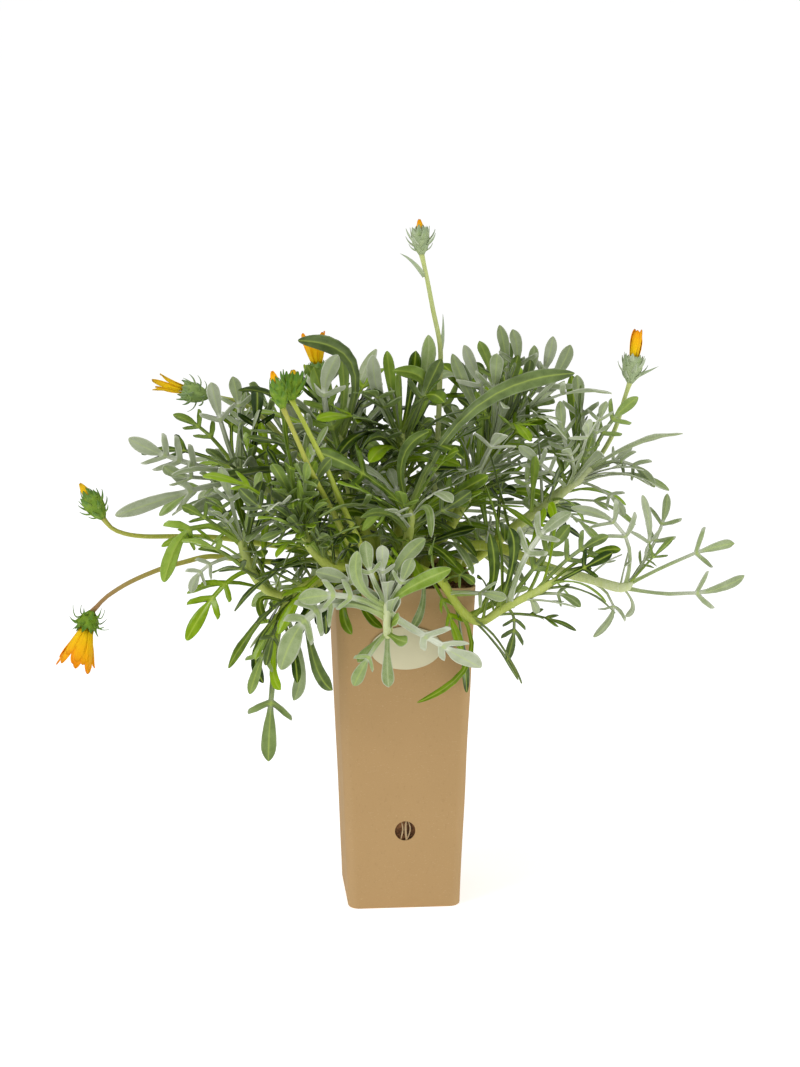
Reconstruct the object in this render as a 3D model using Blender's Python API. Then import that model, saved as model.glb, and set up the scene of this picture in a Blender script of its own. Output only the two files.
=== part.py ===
"""A gazania in its tall square carton of folded board, with a bare label, soil, shoots and flowers.

Sizes are in millimetres in this file and become metres in the meshes. The origin is the centre of the
carton's foot, +Z is up and -Y is the front.
"""

import math
import random

import bmesh
import bpy
from mathutils import Matrix, Vector
from mathutils.bvhtree import BVHTree

MM = 0.001
GAP = 0.3
UP = Vector((0, 0, 1))

# The carton
CARTON_HEIGHT = 226.5
FOOT_HALF = 38.5
RIM_HALF = 47.5
CORNER_RADIUS = 8.0
FOOT_LIP = 0.4
BOARD = 1.2
CORNER_STEPS = 3
DRAIN_RADIUS = 7.0
DRAIN_HEIGHT = 56.0

# The label and the soil
LABEL_HALF_WIDTH = 24.0
LABEL_HALF_HEIGHT = 15.0
LABEL_HEIGHT = 186.0
LABEL_THICKNESS = 0.6
SOIL_BELOW_RIM = 3.5
SOIL_RISE = 1.5
SOIL_SHOULDER = 9.0
SOIL_EDGE = 5.0
HOLE_FLOOR = 2.5
HOLE_DEPTH = 26.0
HOLE_CLEARANCE = 0.4
HOLE_SIDES = 6

# The front view that the plant's places are given in
VIEW_TURN = math.radians(-5)
VIEW_TILT = math.radians(12)
EYE_DISTANCE = 1900.0
EYE_RISE = 249.0

# Leaves
LEAF_THICKNESS = 0.7
LEAF_MARGIN = 0.9
ROOT_HALF_WIDTH = 1.5
ROOT_SUNK = 3.0
BLADE_HALF_WIDTH = 5.2
STRAP_HALF_WIDTH = 2.2
LOBE_HALF_WIDTH = 2.7
LOBE_REACH = 15.0
LOBE_FORWARD = 11.0
GOLDEN_TURN = math.radians(137.5)
TRIES = 40

# Stems
STEM_SIDES = 5
STEM_STEP = 17.0
STALK_SIDES = 5
STALK_STEP = 26.0
UPRIGHT = 7.0

# Colours as the finished plant shows them, linear
KRAFT = (0.45, 0.30, 0.135)
CREAM = (0.60, 0.56, 0.36)
EARTH = (0.09, 0.045, 0.022)
LEAF_GREEN = (0.10, 0.19, 0.05)
LEAF_SILVER = (0.33, 0.38, 0.29)
STALK_GREEN = (0.36, 0.44, 0.10)
PETAL_ORANGE = (0.90, 0.36, 0.01)
PETAL_YELLOW = (0.80, 0.52, 0.02)

# Each leafy shoot: its hole in the soil, its route, its radii, its leaves and its crown.
# A route point is (across, up, depth) in the front view. A leaf is (place along the stem, the point
# across and up that it passes, its tip across and up, its tip's depth, pairs of lobes or -1 for a
# narrow strap, and 1 where its upper side faces the front, -1 where the lower side does). A crown is
# (count, length, spread).
SHOOTS = {
    "shoot_front": {
        "hole": (-6, -37),
        "route": [(-8, 222, -45), (-8, 217, -60), (-8, 198, -70), (-8, 180, -78), (-9, 180, -94),
                  (-9, 194, -100), (-9, 203, -100)],
        "radii": (3.2, 2.6),
        "leaves": [
            (0.97, (-28, 213), (-30, 236), -112, 0, -1),
            (0.99, (-20, 220), (-24, 243), -106, 1, 1),
            (1.00, (-12, 220), (-12, 240), -110, 1, -1),
            (0.98, (0, 213), (8, 231), -114, 1, -1),
            (1.00, (-2, 224), (17, 245), -98, 0, -1),
            (0.95, (5, 210), (35, 224), -114, 0, 1),
            (0.95, (-27, 212), (-58, 222), -104, 2, -1),
            (0.91, (-38, 205), (-70, 203), -98, 2, -1),
            (0.87, (-55, 197), (-83, 155), -94, 3, -1),
            (0.90, (21, 175), (56, 156), -88, 2, -1),
            (0.70, (-21, 164), (-32, 143), -104, 1, -1),
            (0.66, (-19, 170), (-29, 159), -98, 0, 1),
            (0.68, (-9, 159), (-8, 142), -100, 0, 1),
            (0.74, (-2, 175), (5, 173), -108, 0, 1),
        ],
        "crown": (1, 40, 30),
    },
    "shoot_front_right": {
        "hole": (5, -22),
        "route": [(7, 226, -34), (17, 223, -50), (28, 217, -58), (36, 205, -62), (44, 194, -64),
                  (56, 187, -66), (70, 195, -68), (85, 203, -71), (101, 211, -76), (109, 217, -78)],
        "radii": (3.3, 2.5),
        "leaves": [
            (0.20, (16, 201), (8, 182), -72, 0, 1),
            (0.50, (48, 159), (13, 131), -76, -1, 1),
            (0.58, (65, 215), (63, 248), -62, 0, 1),
            (0.70, (79, 229), (77, 252), -74, 0, 1),
            (0.76, (92, 239), (119, 263), -84, 2, 1),
            (0.88, (120, 233), (145, 247), -88, 2, -1),
            (0.93, (127, 224), (148, 235), -98, 1, 1),
            (0.82, (109, 207), (126, 198), -86, 1, 1),
            (0.74, (80, 187), (75, 160), -76, 2, -1),
            (0.84, (93, 201), (96, 193), -78, 0, -1),
        ],
        "crown": (2, 55, 40),
    },
    "shoot_far_right": {
        "hole": (36, -12),
        "route": [(46, 239, -12), (70, 239, -20), (101, 226, -30), (133, 217, -38), (155, 211, -44),
                  (163, 215, -45)],
        "radii": (3.8, 3.2),
        "leaves": [
            (0.98, (174, 240), (170, 275), -54, 1, -1),
            (0.99, (180, 247), (187, 276), -46, 2, -1),
            (1.00, (176, 231), (191, 246), -60, 1, -1),
            (0.98, (204, 234), (233, 242), -44, 1, -1),
            (0.93, (204, 207), (240, 219), -52, 1, -1),
            (0.96, (156, 250), (121, 267), -64, 2, -1),
            (0.72, (149, 200), (136, 177), -40, 1, -1),
            (0.93, (163, 199), (158, 191), -46, 0, -1),
        ],
        "crown": (1, 40, 25),
    },
    "shoot_right_upper": {
        "hole": (31, 10),
        "route": [(51, 231, 10), (78, 252, 4), (105, 271, -2), (127, 289, -6), (135, 296, -6)],
        "radii": (4.0, 3.2),
        "leaves": [
            (0.95, (148, 299), (162, 311), -4, 1, -1),
            (0.97, (157, 299), (178, 282), -16, 2, -1),
            (0.86, (145, 277), (157, 262), -20, 1, -1),
            (0.98, (144, 322), (166, 344), -2, 2, -1),
            (0.97, (127, 329), (124, 359), -10, 1, -1),
            (0.98, (138, 322), (144, 341), -22, 2, -1),
            (0.88, (116, 311), (112, 341), -24, 2, -1),
            (0.78, (103, 294), (84, 310), -34, 2, -1),
            (0.60, (89, 282), (95, 308), -26, 1, 1),
        ],
        "crown": (3, 70, 45),
    },
    "shoot_crown_right": {
        "hole": (17, 6),
        "route": [(26, 239, 4), (46, 273, 4), (65, 308, 4), (75, 330, 4)],
        "radii": (4.0, 3.0),
        "leaves": [
            (0.97, (75, 360), (70, 394), 2, 1, -1),
            (0.98, (82, 364), (79, 391), -8, 1, -1),
            (0.95, (65, 357), (56, 383), -8, 1, -1),
            (0.93, (57, 350), (45, 380), -14, 1, -1),
            (0.88, (50, 343), (37, 374), -2, 0, -1),
            (0.97, (89, 358), (94, 380), 8, 0, 1),
            (0.96, (96, 353), (107, 386), 12, 2, -1),
            (0.94, (102, 350), (119, 380), 2, 1, -1),
            (0.90, (84, 346), (91, 370), -20, 1, -1),
            (0.75, (84, 322), (103, 329), -30, 2, 1),
        ],
        "crown": (5, 85, 50),
    },
    "shoot_centre_front": {
        "hole": (-2, -3),
        "route": [(2, 233, -18), (7, 253, -38), (7, 267, -46)],
        "radii": (3.6, 3.0),
        "leaves": [
            (0.98, (-23, 289), (-58, 306), -72, 1, 1),
            (0.93, (-14, 271), (-31, 272), -70, 0, 1),
            (0.99, (1, 299), (19, 320), -58, 0, -1),
            (0.97, (49, 334), (120, 361), -34, 0, -1),
            (0.92, (19, 267), (22, 247), -76, 0, 1),
            (0.85, (-9, 264), (-26, 252), -74, 1, -1),
            (0.80, (28, 264), (49, 278), -66, 1, -1),
            (0.90, (32, 273), (61, 289), -58, 1, 1),
        ],
        "crown": (3, 65, 35),
    },
    "shoot_centre": {
        "hole": (-2, 16),
        "route": [(-2, 238, 14), (0, 273, 8), (1, 308, 2), (1, 322, 0)],
        "radii": (3.8, 3.0),
        "leaves": [
            (0.98, (16, 353), (20, 387), 0, 0, 1),
            (0.97, (8, 351), (11, 376), -10, 0, 1),
            (0.96, (-5, 346), (-9, 376), 2, 0, -1),
            (0.94, (19, 351), (-4, 363), -20, 0, -1),
            (0.95, (-14, 343), (-19, 373), -16, 0, -1),
        ],
        "crown": (7, 80, 50),
    },
    "shoot_crown_left": {
        "hole": (-17, 4),
        "route": [(-20, 239, 0), (-33, 273, -6), (-41, 308, -8), (-44, 320, -8)],
        "radii": (3.8, 3.0),
        "leaves": [
            (0.98, (-39, 355), (-45, 384), -12, 0, -1),
            (0.95, (-33, 366), (-70, 384), -24, 0, -1),
            (0.90, (-53, 343), (-44, 373), -34, 1, -1),
        ],
        "crown": (8, 80, 50),
    },
    "shoot_left_upper": {
        "hole": (-31, 16),
        "route": [(-47, 239, 18), (-73, 264, 18), (-103, 284, 12), (-118, 296, 8)],
        "radii": (3.8, 3.0),
        "leaves": [
            (0.97, (-151, 299), (-189, 315), -10, 3, -1),
            (0.93, (-144, 288), (-165, 296), -18, 1, -1),
            (0.98, (-135, 319), (-158, 332), 6, 2, -1),
            (0.98, (-125, 326), (-132, 354), -10, 1, -1),
            (0.96, (-112, 329), (-117, 358), 14, 2, -1),
            (0.90, (-101, 322), (-100, 352), 4, 1, 1),
            (0.88, (-142, 280), (-198, 262), -6, 1, -1),
            (0.84, (-126, 275), (-147, 263), -28, 0, 1),
            (0.70, (-93, 298), (-97, 326), -4, 2, 1),
        ],
        "crown": (4, 75, 45),
    },
    "shoot_left_low": {
        "hole": (-36, -7),
        "route": [(-45, 221, -20), (-62, 211, -30), (-84, 205, -34), (-100, 217, -34),
                  (-108, 233, -34), (-112, 247, -33)],
        "radii": (4.2, 3.0),
        "leaves": [
            (0.97, (-145, 253), (-165, 216), -44, 1, -1),
            (0.96, (-135, 259), (-152, 268), -40, 1, -1),
            (0.98, (-118, 270), (-125, 295), -52, 1, -1),
            (0.88, (-135, 226), (-146, 208), -48, 2, -1),
            (0.76, (-125, 211), (-149, 175), -56, 2, 1),
            (0.98, (-104, 270), (-97, 291), -58, 2, 1),
        ],
        "crown": (4, 65, 40),
    },
    "shoot_left_hanging": {
        "hole": (-37, -24),
        "route": [(-47, 222, -42), (-63, 214, -52), (-76, 205, -55), (-83, 194, -56), (-85, 184, -56)],
        "radii": (3.4, 2.4),
        "leaves": [
            (0.74, (-97, 203), (-94, 187), -66, 0, 1),
            (0.85, (-100, 169), (-96, 145), -60, 0, 1),
            (0.93, (-96, 173), (-101, 161), -70, 0, 1),
            (0.97, (-89, 157), (-84, 140), -66, 0, 1),
            (0.90, (-75, 168), (-72, 145), -68, 0, 1),
            (1.00, (-90, 135), (-92, 91), -56, 1, -1),
            (0.80, (-70, 161), (-74, 133), -56, 0, -1),
            (0.50, (-61, 164), (-48, 140), -66, 0, -1),
            (0.40, (-53, 194), (-52, 179), -44, 0, 1),
        ],
        "crown": (1, 40, 25),
    },
    "shoot_front_left": {
        "hole": (-33, -37),
        "route": [(-34, 225, -42), (-49, 226, -58), (-63, 240, -66), (-70, 259, -68), (-73, 268, -68)],
        "radii": (3.6, 2.8),
        "leaves": [
            (0.93, (-91, 264), (-112, 280), -92, 3, -1),
            (0.98, (-79, 280), (-87, 295), -84, 2, -1),
            (0.99, (-66, 284), (-70, 299), -80, 3, 1),
            (0.90, (-80, 252), (-97, 245), -86, 1, -1),
            (0.18, (-40, 198), (-34, 179), -66, 0, 1),
            (0.20, (-26, 198), (-13, 183), -70, 0, 1),
        ],
        "crown": (5, 62, 45),
    },
    "shoot_back_left": {
        "hole": (-15, 34),
        "route": [(-20, 252, 56), (-46, 273, 92), (-70, 294, 118), (-79, 303, 124)],
        "radii": (4.0, 3.0),
        "leaves": [],
        "crown": (10, 88, 55),
    },
    "shoot_back_right": {
        "hole": (20, 34),
        "route": [(25, 252, 56), (47, 276, 96), (63, 301, 120), (67, 309, 124)],
        "radii": (4.0, 3.0),
        "leaves": [],
        "crown": (10, 88, 55),
    },
    "shoot_back_low": {
        "hole": (1, 38),
        "route": [(2, 249, 58), (5, 245, 92), (7, 245, 122), (8, 255, 144), (9, 266, 150)],
        "radii": (3.8, 2.8),
        "leaves": [],
        "crown": (9, 78, 60),
    },
}

# Each flower: its hole in the soil, its stalk's route up to its head, the way that the head points in
# the front view, its cup, its bracts and its petals. A cup is (radius, height). Bracts are (count,
# length, flare in degrees). Petals are (count, length, half width, radius at the root and at the tips).
FLOWERS = {
    "flower_top": {
        "hole": (12, 22),
        "route": [(21, 245, 22), (26, 308, 16), (28, 360, 10), (28, 381, 8), (23, 406, 5),
                  (19, 427, 2), (15, 445, 0)],
        "aim": (-2, 32, 0),
        "cup": (6.2, 14.5),
        "bracts": (8, 9.0, 38),
        "petals": (0, 8.0, 0, 2.4, 0.5),
        "colour": PETAL_ORANGE,
    },
    "flower_right": {
        "hole": (38, 28),
        "route": [(61, 241, 30), (103, 273, 24), (134, 297, 16), (145, 311, 12), (152, 326, 8),
                  (157, 343, 5), (161, 355, 3)],
        "aim": (8, 50, 0),
        "cup": (7.0, 17.0),
        "bracts": (8, 8.0, 32),
        "petals": (7, 19.0, 2.7, 3.6, 4.6),
        "colour": PETAL_ORANGE,
    },
    "flower_hanging": {
        "hole": (-38, 6),
        "route": [(-49, 231, 6), (-83, 229, 4), (-113, 231, 0), (-133, 233, -4), (-151, 229, -8),
                  (-168, 224, -12),
                  (-189, 215, -16), (-205, 205, -18), (-212, 198, -18), (-216, 194, -18)],
        "aim": (-9, -30, -4),
        "cup": (7.0, 11.0),
        "bracts": (9, 9.0, 105),
        "petals": (11, 29.0, 3.1, 4.4, 14.0),
        "colour": PETAL_ORANGE,
    },
    "flower_left_bud": {
        "hole": (-38, 28),
        "route": [(-49, 236, 38), (-91, 241, 34), (-126, 246, 24), (-154, 247, 14), (-179, 247, 6),
                  (-193, 249, 3),
                  (-202, 253, 1), (-208, 260, 0)],
        "aim": (-20, 30, 0),
        "cup": (7.2, 17.0),
        "bracts": (8, 7.5, 40),
        "petals": (0, 10.5, 0, 3.0, 0.5),
        "colour": PETAL_YELLOW,
    },
    "flower_spent": {
        "hole": (-27, 36),
        "route": [(-39, 259, 56), (-77, 310, 52), (-105, 337, 40), (-125, 344, 28), (-135, 345, 22)],
        "aim": (-30, 9, -4),
        "cup": (7.0, 17.0),
        "bracts": (9, 8.5, 62),
        "petals": (7, 24.0, 1.2, 3.6, 7.0),
        "colour": PETAL_YELLOW,
    },
    "flower_bud_green": {
        "hole": (-20, -38),
        "route": [(-23, 231, -50), (-32, 251, -66), (-40, 268, -76), (-52, 296, -80), (-58, 308, -80),
                  (-67, 326, -78),
                  (-76, 343, -76)],
        "aim": (2, 30, -2),
        "cup": (6.8, 14.0),
        "bracts": (11, 10.0, 24),
        "petals": (0, 4.5, 0, 2.4, 0.5),
        "colour": PETAL_YELLOW,
    },
    "flower_bud_orange": {
        "hole": (-20, -22),
        "route": [(-35, 241, -50), (-47, 264, -70), (-64, 296, -92), (-70, 310, -93), (-82, 337, -92)],
        "aim": (-9, 30, -2),
        "cup": (5.0, 15.0),
        "bracts": (6, 6.0, 24),
        "petals": (0, 9.0, 0, 2.6, 0.5),
        "colour": PETAL_ORANGE,
    },
    "flower_back": {
        "hole": (-30, 28),
        "route": [(-34, 241, 30), (-47, 287, 34), (-54, 322, 34), (-56, 353, 32)],
        "aim": (-4, 30, 0),
        "cup": (6.0, 14.0),
        "bracts": (8, 7.0, 30),
        "petals": (8, 22.0, 2.8, 3.6, 9.0),
        "colour": PETAL_ORANGE,
    },
}
STALK_RADII = (2.4, 1.4)
HEAD_SIDES = 7


def clear_scene():
    """Removes every object that the file started with."""
    for obj in list(bpy.data.objects):
        bpy.data.objects.remove(obj, do_unlink=True)


def material(name, colour, roughness):
    """A plain Principled material."""
    made = bpy.data.materials.new(name)
    made.use_nodes = True
    shader = made.node_tree.nodes["Principled BSDF"]
    shader.inputs["Base Color"].default_value = (*colour, 1)
    shader.inputs["Roughness"].default_value = roughness
    shader.inputs["Metallic"].default_value = 0
    made.diffuse_color = (*colour, 1)
    return made


def object_from(bm, name, skin=None, collection=None):
    """Writes a bmesh in millimetres as an object in metres, shaded smooth where it is round."""
    bmesh.ops.scale(bm, vec=(MM, MM, MM), verts=bm.verts)
    mesh = bpy.data.meshes.new(name)
    bm.to_mesh(mesh)
    bm.free()
    if skin:
        mesh.materials.append(skin)
        mesh.shade_smooth()
        mesh.set_sharp_from_angle(angle=math.radians(40))
    made = bpy.data.objects.new(name, mesh)
    (collection or bpy.context.scene.collection).objects.link(made)
    return made


def front_axes():
    """The front view's unit vectors: to the right, up the view, and back towards the eye."""
    right = Vector((math.cos(VIEW_TURN), math.sin(VIEW_TURN), 0))
    back = Vector((math.sin(VIEW_TURN) * math.cos(VIEW_TILT),
                   -math.cos(VIEW_TURN) * math.cos(VIEW_TILT),
                   math.sin(VIEW_TILT)))
    return right, back.cross(right), back


def seen(across, up, depth):
    """The point at y = depth that the front view shows at (across, up) from the foot's centre."""
    right, rise, back = front_axes()
    eye = rise * EYE_RISE + back * EYE_DISTANCE
    ray = right * across + rise * up - eye
    return eye + ray * ((depth - eye.y) / ray.y)


def smooth_route(points, step):
    """Points about every step along a Catmull-Rom curve through the given ones."""
    padded = [2 * points[0] - points[1], *points, 2 * points[-1] - points[-2]]
    route = [points[0].copy()]
    for a, b, c, d in zip(padded, padded[1:], padded[2:], padded[3:]):
        pieces = max(1, round((c - b).length / step))
        for i in range(1, pieces + 1):
            t = i / pieces
            route.append(0.5 * (2 * b + (c - a) * t + (2 * a - 5 * b + 4 * c - d) * t ** 2
                                + (3 * b - a - 3 * c + d) * t ** 3))
    return route


def along(route, share):
    """The point and the direction at a share of the part of a stem's route that is out of the soil."""
    first = next(i for i, point in enumerate(route) if point.z > soil_top() + SOIL_RISE + 1)
    place = first + share * (len(route) - 1 - first)
    i = min(int(place), len(route) - 2)
    point = route[i].lerp(route[i + 1], place - i)
    return point, (route[i + 1] - route[i]).normalized()


def tube(route, radii, sides):
    """A closed tapering tube round a route, as a bmesh."""
    bm = bmesh.new()
    side = (route[1] - route[0]).orthogonal().normalized()
    rings = []
    for i, point in enumerate(route):
        ahead = (route[min(i + 1, len(route) - 1)] - route[max(i - 1, 0)]).normalized()
        side = (side - ahead * side.dot(ahead)).normalized()
        radius = radii[0] + (radii[1] - radii[0]) * i / (len(route) - 1)
        turn = Matrix.Rotation(math.tau / sides, 3, ahead)
        arm = side * radius
        ring = []
        for _ in range(sides):
            ring.append(bm.verts.new(point + arm))
            arm = turn @ arm
        rings.append(ring)
    for low, high in zip(rings, rings[1:]):
        for i in range(sides):
            j = (i + 1) % sides
            bm.faces.new((low[i], low[j], high[j], high[i]))
    bm.faces.new(list(reversed(rings[0])))
    bm.faces.new(rings[-1])
    bmesh.ops.recalc_face_normals(bm, faces=bm.faces)
    return bm


def rounded_square(half, radius):
    """The corners' arcs of a rounded square, as (x, y) anticlockwise."""
    ring = []
    for quarter in range(4):
        middle = math.radians(45 + 90 * quarter)
        reach = (half - radius) * math.sqrt(2)
        for i in range(CORNER_STEPS + 1):
            angle = middle + math.radians(-45 + 90 * i / CORNER_STEPS)
            ring.append((reach * math.cos(middle) + radius * math.cos(angle),
                         reach * math.sin(middle) + radius * math.sin(angle)))
    return ring


def half_at(height):
    """Half the carton's outer width at a height."""
    return FOOT_HALF + (RIM_HALF - FOOT_HALF) * height / CARTON_HEIGHT


def square_loft(levels):
    """A bmesh skinned through rounded squares: levels are (half width, corner radius, height)."""
    bm = bmesh.new()
    rings = []
    for half, radius, height in levels:
        ring = [bm.verts.new((x, y, height)) for x, y in rounded_square(half, radius)]
        rings.append(ring)
    for low, high in zip(rings, rings[1:]):
        for i, corner in enumerate(low):
            j = (i + 1) % len(low)
            bm.faces.new((corner, low[j], high[j], high[i]))
    bm.faces.new(list(reversed(rings[0])))
    bm.faces.new(rings[-1])
    bmesh.ops.recalc_face_normals(bm, faces=bm.faces)
    return bm


def cutter(bm, name):
    """A hidden object that a Boolean cuts with."""
    made = object_from(bm, name)
    made.hide_render = True
    made.display_type = "WIRE"
    return made


def carton():
    """The folded board carton: four tapering walls and a foot, with a drain hole in front."""
    levels = [
        (FOOT_HALF - FOOT_LIP, CORNER_RADIUS - FOOT_LIP, 0),
        (half_at(FOOT_LIP), CORNER_RADIUS, FOOT_LIP),
        (half_at(CARTON_HEIGHT), CORNER_RADIUS, CARTON_HEIGHT),
        (half_at(CARTON_HEIGHT) - BOARD, CORNER_RADIUS - BOARD, CARTON_HEIGHT),
        (half_at(BOARD) - BOARD, CORNER_RADIUS - BOARD, BOARD),
    ]
    made = object_from(square_loft(levels), "carton", material("kraft board", KRAFT, 0.85))
    drill = bmesh.new()
    place = Matrix.Translation((0, -half_at(DRAIN_HEIGHT), DRAIN_HEIGHT))
    turn = place @ Matrix.Rotation(math.pi / 2, 4, "X")
    bmesh.ops.create_cone(drill, cap_ends=True, segments=20, radius1=DRAIN_RADIUS, radius2=DRAIN_RADIUS,
                          depth=4 * BOARD, matrix=turn)
    cut = made.modifiers.new("drain hole", "BOOLEAN")
    cut.object = cutter(drill, "drain_cutter")
    cut.operation = "DIFFERENCE"
    return made


def label():
    """A thin bare oval label, standing a gap off the front wall and leaning with it."""
    bm = bmesh.new()
    lean = math.atan((RIM_HALF - FOOT_HALF) / CARTON_HEIGHT)
    place = Matrix.Translation((0, -half_at(LABEL_HEIGHT) - GAP - LABEL_THICKNESS / 2, LABEL_HEIGHT))
    place = place @ Matrix.Rotation(math.pi / 2 + lean, 4, "X")
    bmesh.ops.create_cone(bm, cap_ends=True, segments=24, radius1=1, radius2=1, depth=1)
    bmesh.ops.scale(bm, vec=(LABEL_HALF_WIDTH, LABEL_HALF_HEIGHT, LABEL_THICKNESS), verts=bm.verts)
    bmesh.ops.transform(bm, matrix=place, verts=bm.verts)
    return object_from(bm, "label", material("label paper", CREAM, 0.6))


def soil_top():
    """The height of the soil's flat edge."""
    return CARTON_HEIGHT - SOIL_BELOW_RIM


def soil():
    """The root ball that fills the carton, with a plain hole for each stem."""
    top = soil_top()
    inset = BOARD + GAP
    radius = CORNER_RADIUS - BOARD
    bottom = BOARD + GAP
    levels = [
        (half_at(bottom) - inset, radius, bottom),
        (half_at(top) - inset, radius, top),
        (half_at(top) - inset - SOIL_SHOULDER, radius, top + SOIL_RISE),
    ]
    made = object_from(square_loft(levels), "soil", material("soil", EARTH, 0.95))
    holes = bpy.data.collections.new("stem holes")
    bpy.context.scene.collection.children.link(holes)
    stands = [(entry["hole"], entry["radii"][0]) for entry in SHOOTS.values()]
    stands += [(entry["hole"], STALK_RADII[0]) for entry in FLOWERS.values()]
    for (x, y), radius in stands:
        drill = bmesh.new()
        place = Matrix.Translation((x, y, top - HOLE_DEPTH / 2 + SOIL_RISE))
        reach = (radius + HOLE_CLEARANCE) / math.cos(math.pi / HOLE_SIDES)
        bmesh.ops.create_cone(drill, cap_ends=True, segments=HOLE_SIDES, radius1=reach, radius2=reach,
                              depth=HOLE_DEPTH + 2 * SOIL_RISE, matrix=place)
        hole = object_from(drill, "stem_hole", collection=holes)
        hole.hide_render = True
        hole.display_type = "WIRE"
    apply_boolean(made, holes, "DIFFERENCE")
    return made


def apply_boolean(made, collection, operation):
    """One Boolean with every object of a collection, applied, and the objects removed."""
    cut = made.modifiers.new("joined", "BOOLEAN")
    cut.operand_type = "COLLECTION"
    cut.collection = collection
    cut.operation = operation
    graph = bpy.context.evaluated_depsgraph_get()
    mesh = bpy.data.meshes.new_from_object(made.evaluated_get(graph))
    made.modifiers.remove(cut)
    made.data = mesh
    for obj in list(collection.objects):
        bpy.data.objects.remove(obj, do_unlink=True)
    bpy.data.collections.remove(collection)


def keep_largest_body(made):
    """Drops loose scraps, and the inner skin of any hollow that the union sealed."""
    bm = bmesh.new()
    bm.from_mesh(made.data)
    bmesh.ops.remove_doubles(bm, verts=bm.verts, dist=1e-6)
    left = set(bm.verts)
    bodies = []
    while left:
        body = {left.pop()}
        edge = list(body)
        while edge:
            for link in edge.pop().link_edges:
                for vert in link.verts:
                    if vert in left:
                        left.remove(vert)
                        body.add(vert)
                        edge.append(vert)
        bodies.append(body)
    bodies.sort(key=len)
    for body in bodies[:-1]:
        bmesh.ops.delete(bm, geom=list(body), context="VERTS")
    bm.to_mesh(made.data)
    bm.free()


class Spine:
    """A leaf's curved midrib: its points, and the way that its width and its upper side lie."""

    def __init__(self, root, via, tip, facing, twist):
        self.root = root
        self.bend = 2 * via - (root + tip) / 2
        self.tip = tip
        self.chord = (tip - root).normalized()
        flat = facing - self.chord * facing.dot(self.chord)
        self.facing = flat.normalized() if flat.length > 0.05 else self.chord.orthogonal()
        self.twist = twist
        self.length = ((via - root).length + (tip - via).length)

    def frame(self, share):
        """The midrib's point, its side vector and its upper normal at a share of the length."""
        t = min(share, 1)
        point = (1 - t) ** 2 * self.root + 2 * t * (1 - t) * self.bend + t ** 2 * self.tip
        ahead = ((1 - t) * (self.bend - self.root) + t * (self.tip - self.bend)).normalized()
        point += ahead * self.length * (share - t)
        facing = Matrix.Rotation(self.twist * (t - 0.3), 3, self.chord) @ self.facing
        side = ahead.cross(facing).normalized()
        return point, side, side.cross(ahead)


def leaf_plan(length, pairs):
    """A leaf's outline: rows of (share, half width) up the midrib, and lobes after some rows."""
    if pairs == 0:
        rows = [(0, ROOT_HALF_WIDTH), (0.52, 2.2), (0.82, BLADE_HALF_WIDTH), (1, 2.0)]
        return rows, {}
    if pairs < 0:
        return [(0, ROOT_HALF_WIDTH), (0.4, 1.6), (0.8, STRAP_HALF_WIDTH), (1, 0.9)], {}
    rows = [(0, ROOT_HALF_WIDTH)]
    lobes = {}
    first = 0.36
    last = 0.74
    root = 2 * LOBE_HALF_WIDTH / length
    for i in range(pairs):
        share = first + (last - first) * (i + 0.5) / pairs
        rows.append((share - root * 0.5, 1.4))
        lobes[len(rows) - 1] = 0.72 + 0.28 * math.sin(math.pi * (i + 0.8) / (pairs + 0.6))
        rows.append((share + root * 0.5, 1.5))
    rows += [(0.91, BLADE_HALF_WIDTH), (1, 1.9)]
    return rows, lobes


def thicken(bm, normal, thickness):
    """Raises a sheet's upper side along each vertex's own normal, and closes its edge."""
    top = bmesh.ops.extrude_face_region(bm, geom=list(bm.faces))
    for vert in top["geom"]:
        if isinstance(vert, bmesh.types.BMVert):
            vert.co += vert[normal] * thickness
    bmesh.ops.recalc_face_normals(bm, faces=bm.faces)


def leaf_mesh(spine, pairs, size, thickness, grow):
    """A leaf's blade with its lobes cut to the rib, as a closed bmesh of bent triangles."""
    bm = bmesh.new()
    normal = bm.verts.layers.float_vector.new("upper side")

    def point(share, offset):
        middle, side, upper = spine.frame(share)
        fold = abs(offset) * 0.18
        vert = bm.verts.new(middle + side * offset + upper * (fold - thickness / 2))
        vert[normal] = upper
        return vert

    rows, lobes = leaf_plan(spine.length / size, pairs)
    edges = [(point(share, -half * size - grow), point(share, half * size + grow)) for share, half in rows]
    for i, (low, high) in enumerate(zip(edges, edges[1:])):
        bm.faces.new((low[0], low[1], high[1]))
        bm.faces.new((low[0], high[1], high[0]))
        if i not in lobes:
            continue
        reach = LOBE_REACH * lobes[i] * size + grow
        ahead = LOBE_FORWARD * lobes[i] * size / spine.length
        width = (LOBE_HALF_WIDTH * size + grow) / spine.length
        for hand in (0, 1):
            turn = 2 * hand - 1
            share = (rows[i][0] + rows[i + 1][0]) / 2 + ahead * (1 + 0.12 * turn)
            outer = point(share - 0.5 * width, turn * reach)
            inner = point(share + 1.3 * width, turn * reach * 0.8)
            bm.faces.new((low[hand], outer, inner)[:: turn])
            bm.faces.new((low[hand], inner, high[hand])[:: turn])
    thicken(bm, normal, thickness)
    return bm


def tree_of(bm):
    """A search tree of a bmesh's faces, for telling whether two pieces cross."""
    return BVHTree.FromBMesh(bm)


class Plant:
    """What is placed so far, so that each new leaf is bent clear of the other pieces."""

    def __init__(self):
        self.trees = {}
        self.blades = {}

    def add(self, node, bm):
        """Notes a piece of a node as placed."""
        self.trees.setdefault(node, []).append(tree_of(bm))

    def crosses_others(self, node, tree):
        """Whether a piece would cross another node."""
        others = [other for name, placed in self.trees.items() if name != node for other in placed]
        return any(tree.overlap(other) for other in others)

    def crosses_own(self, node, tree):
        """Whether a leaf's blade would cross another blade of its node."""
        return any(tree.overlap(other) for other in self.blades.get(node, []))


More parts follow.
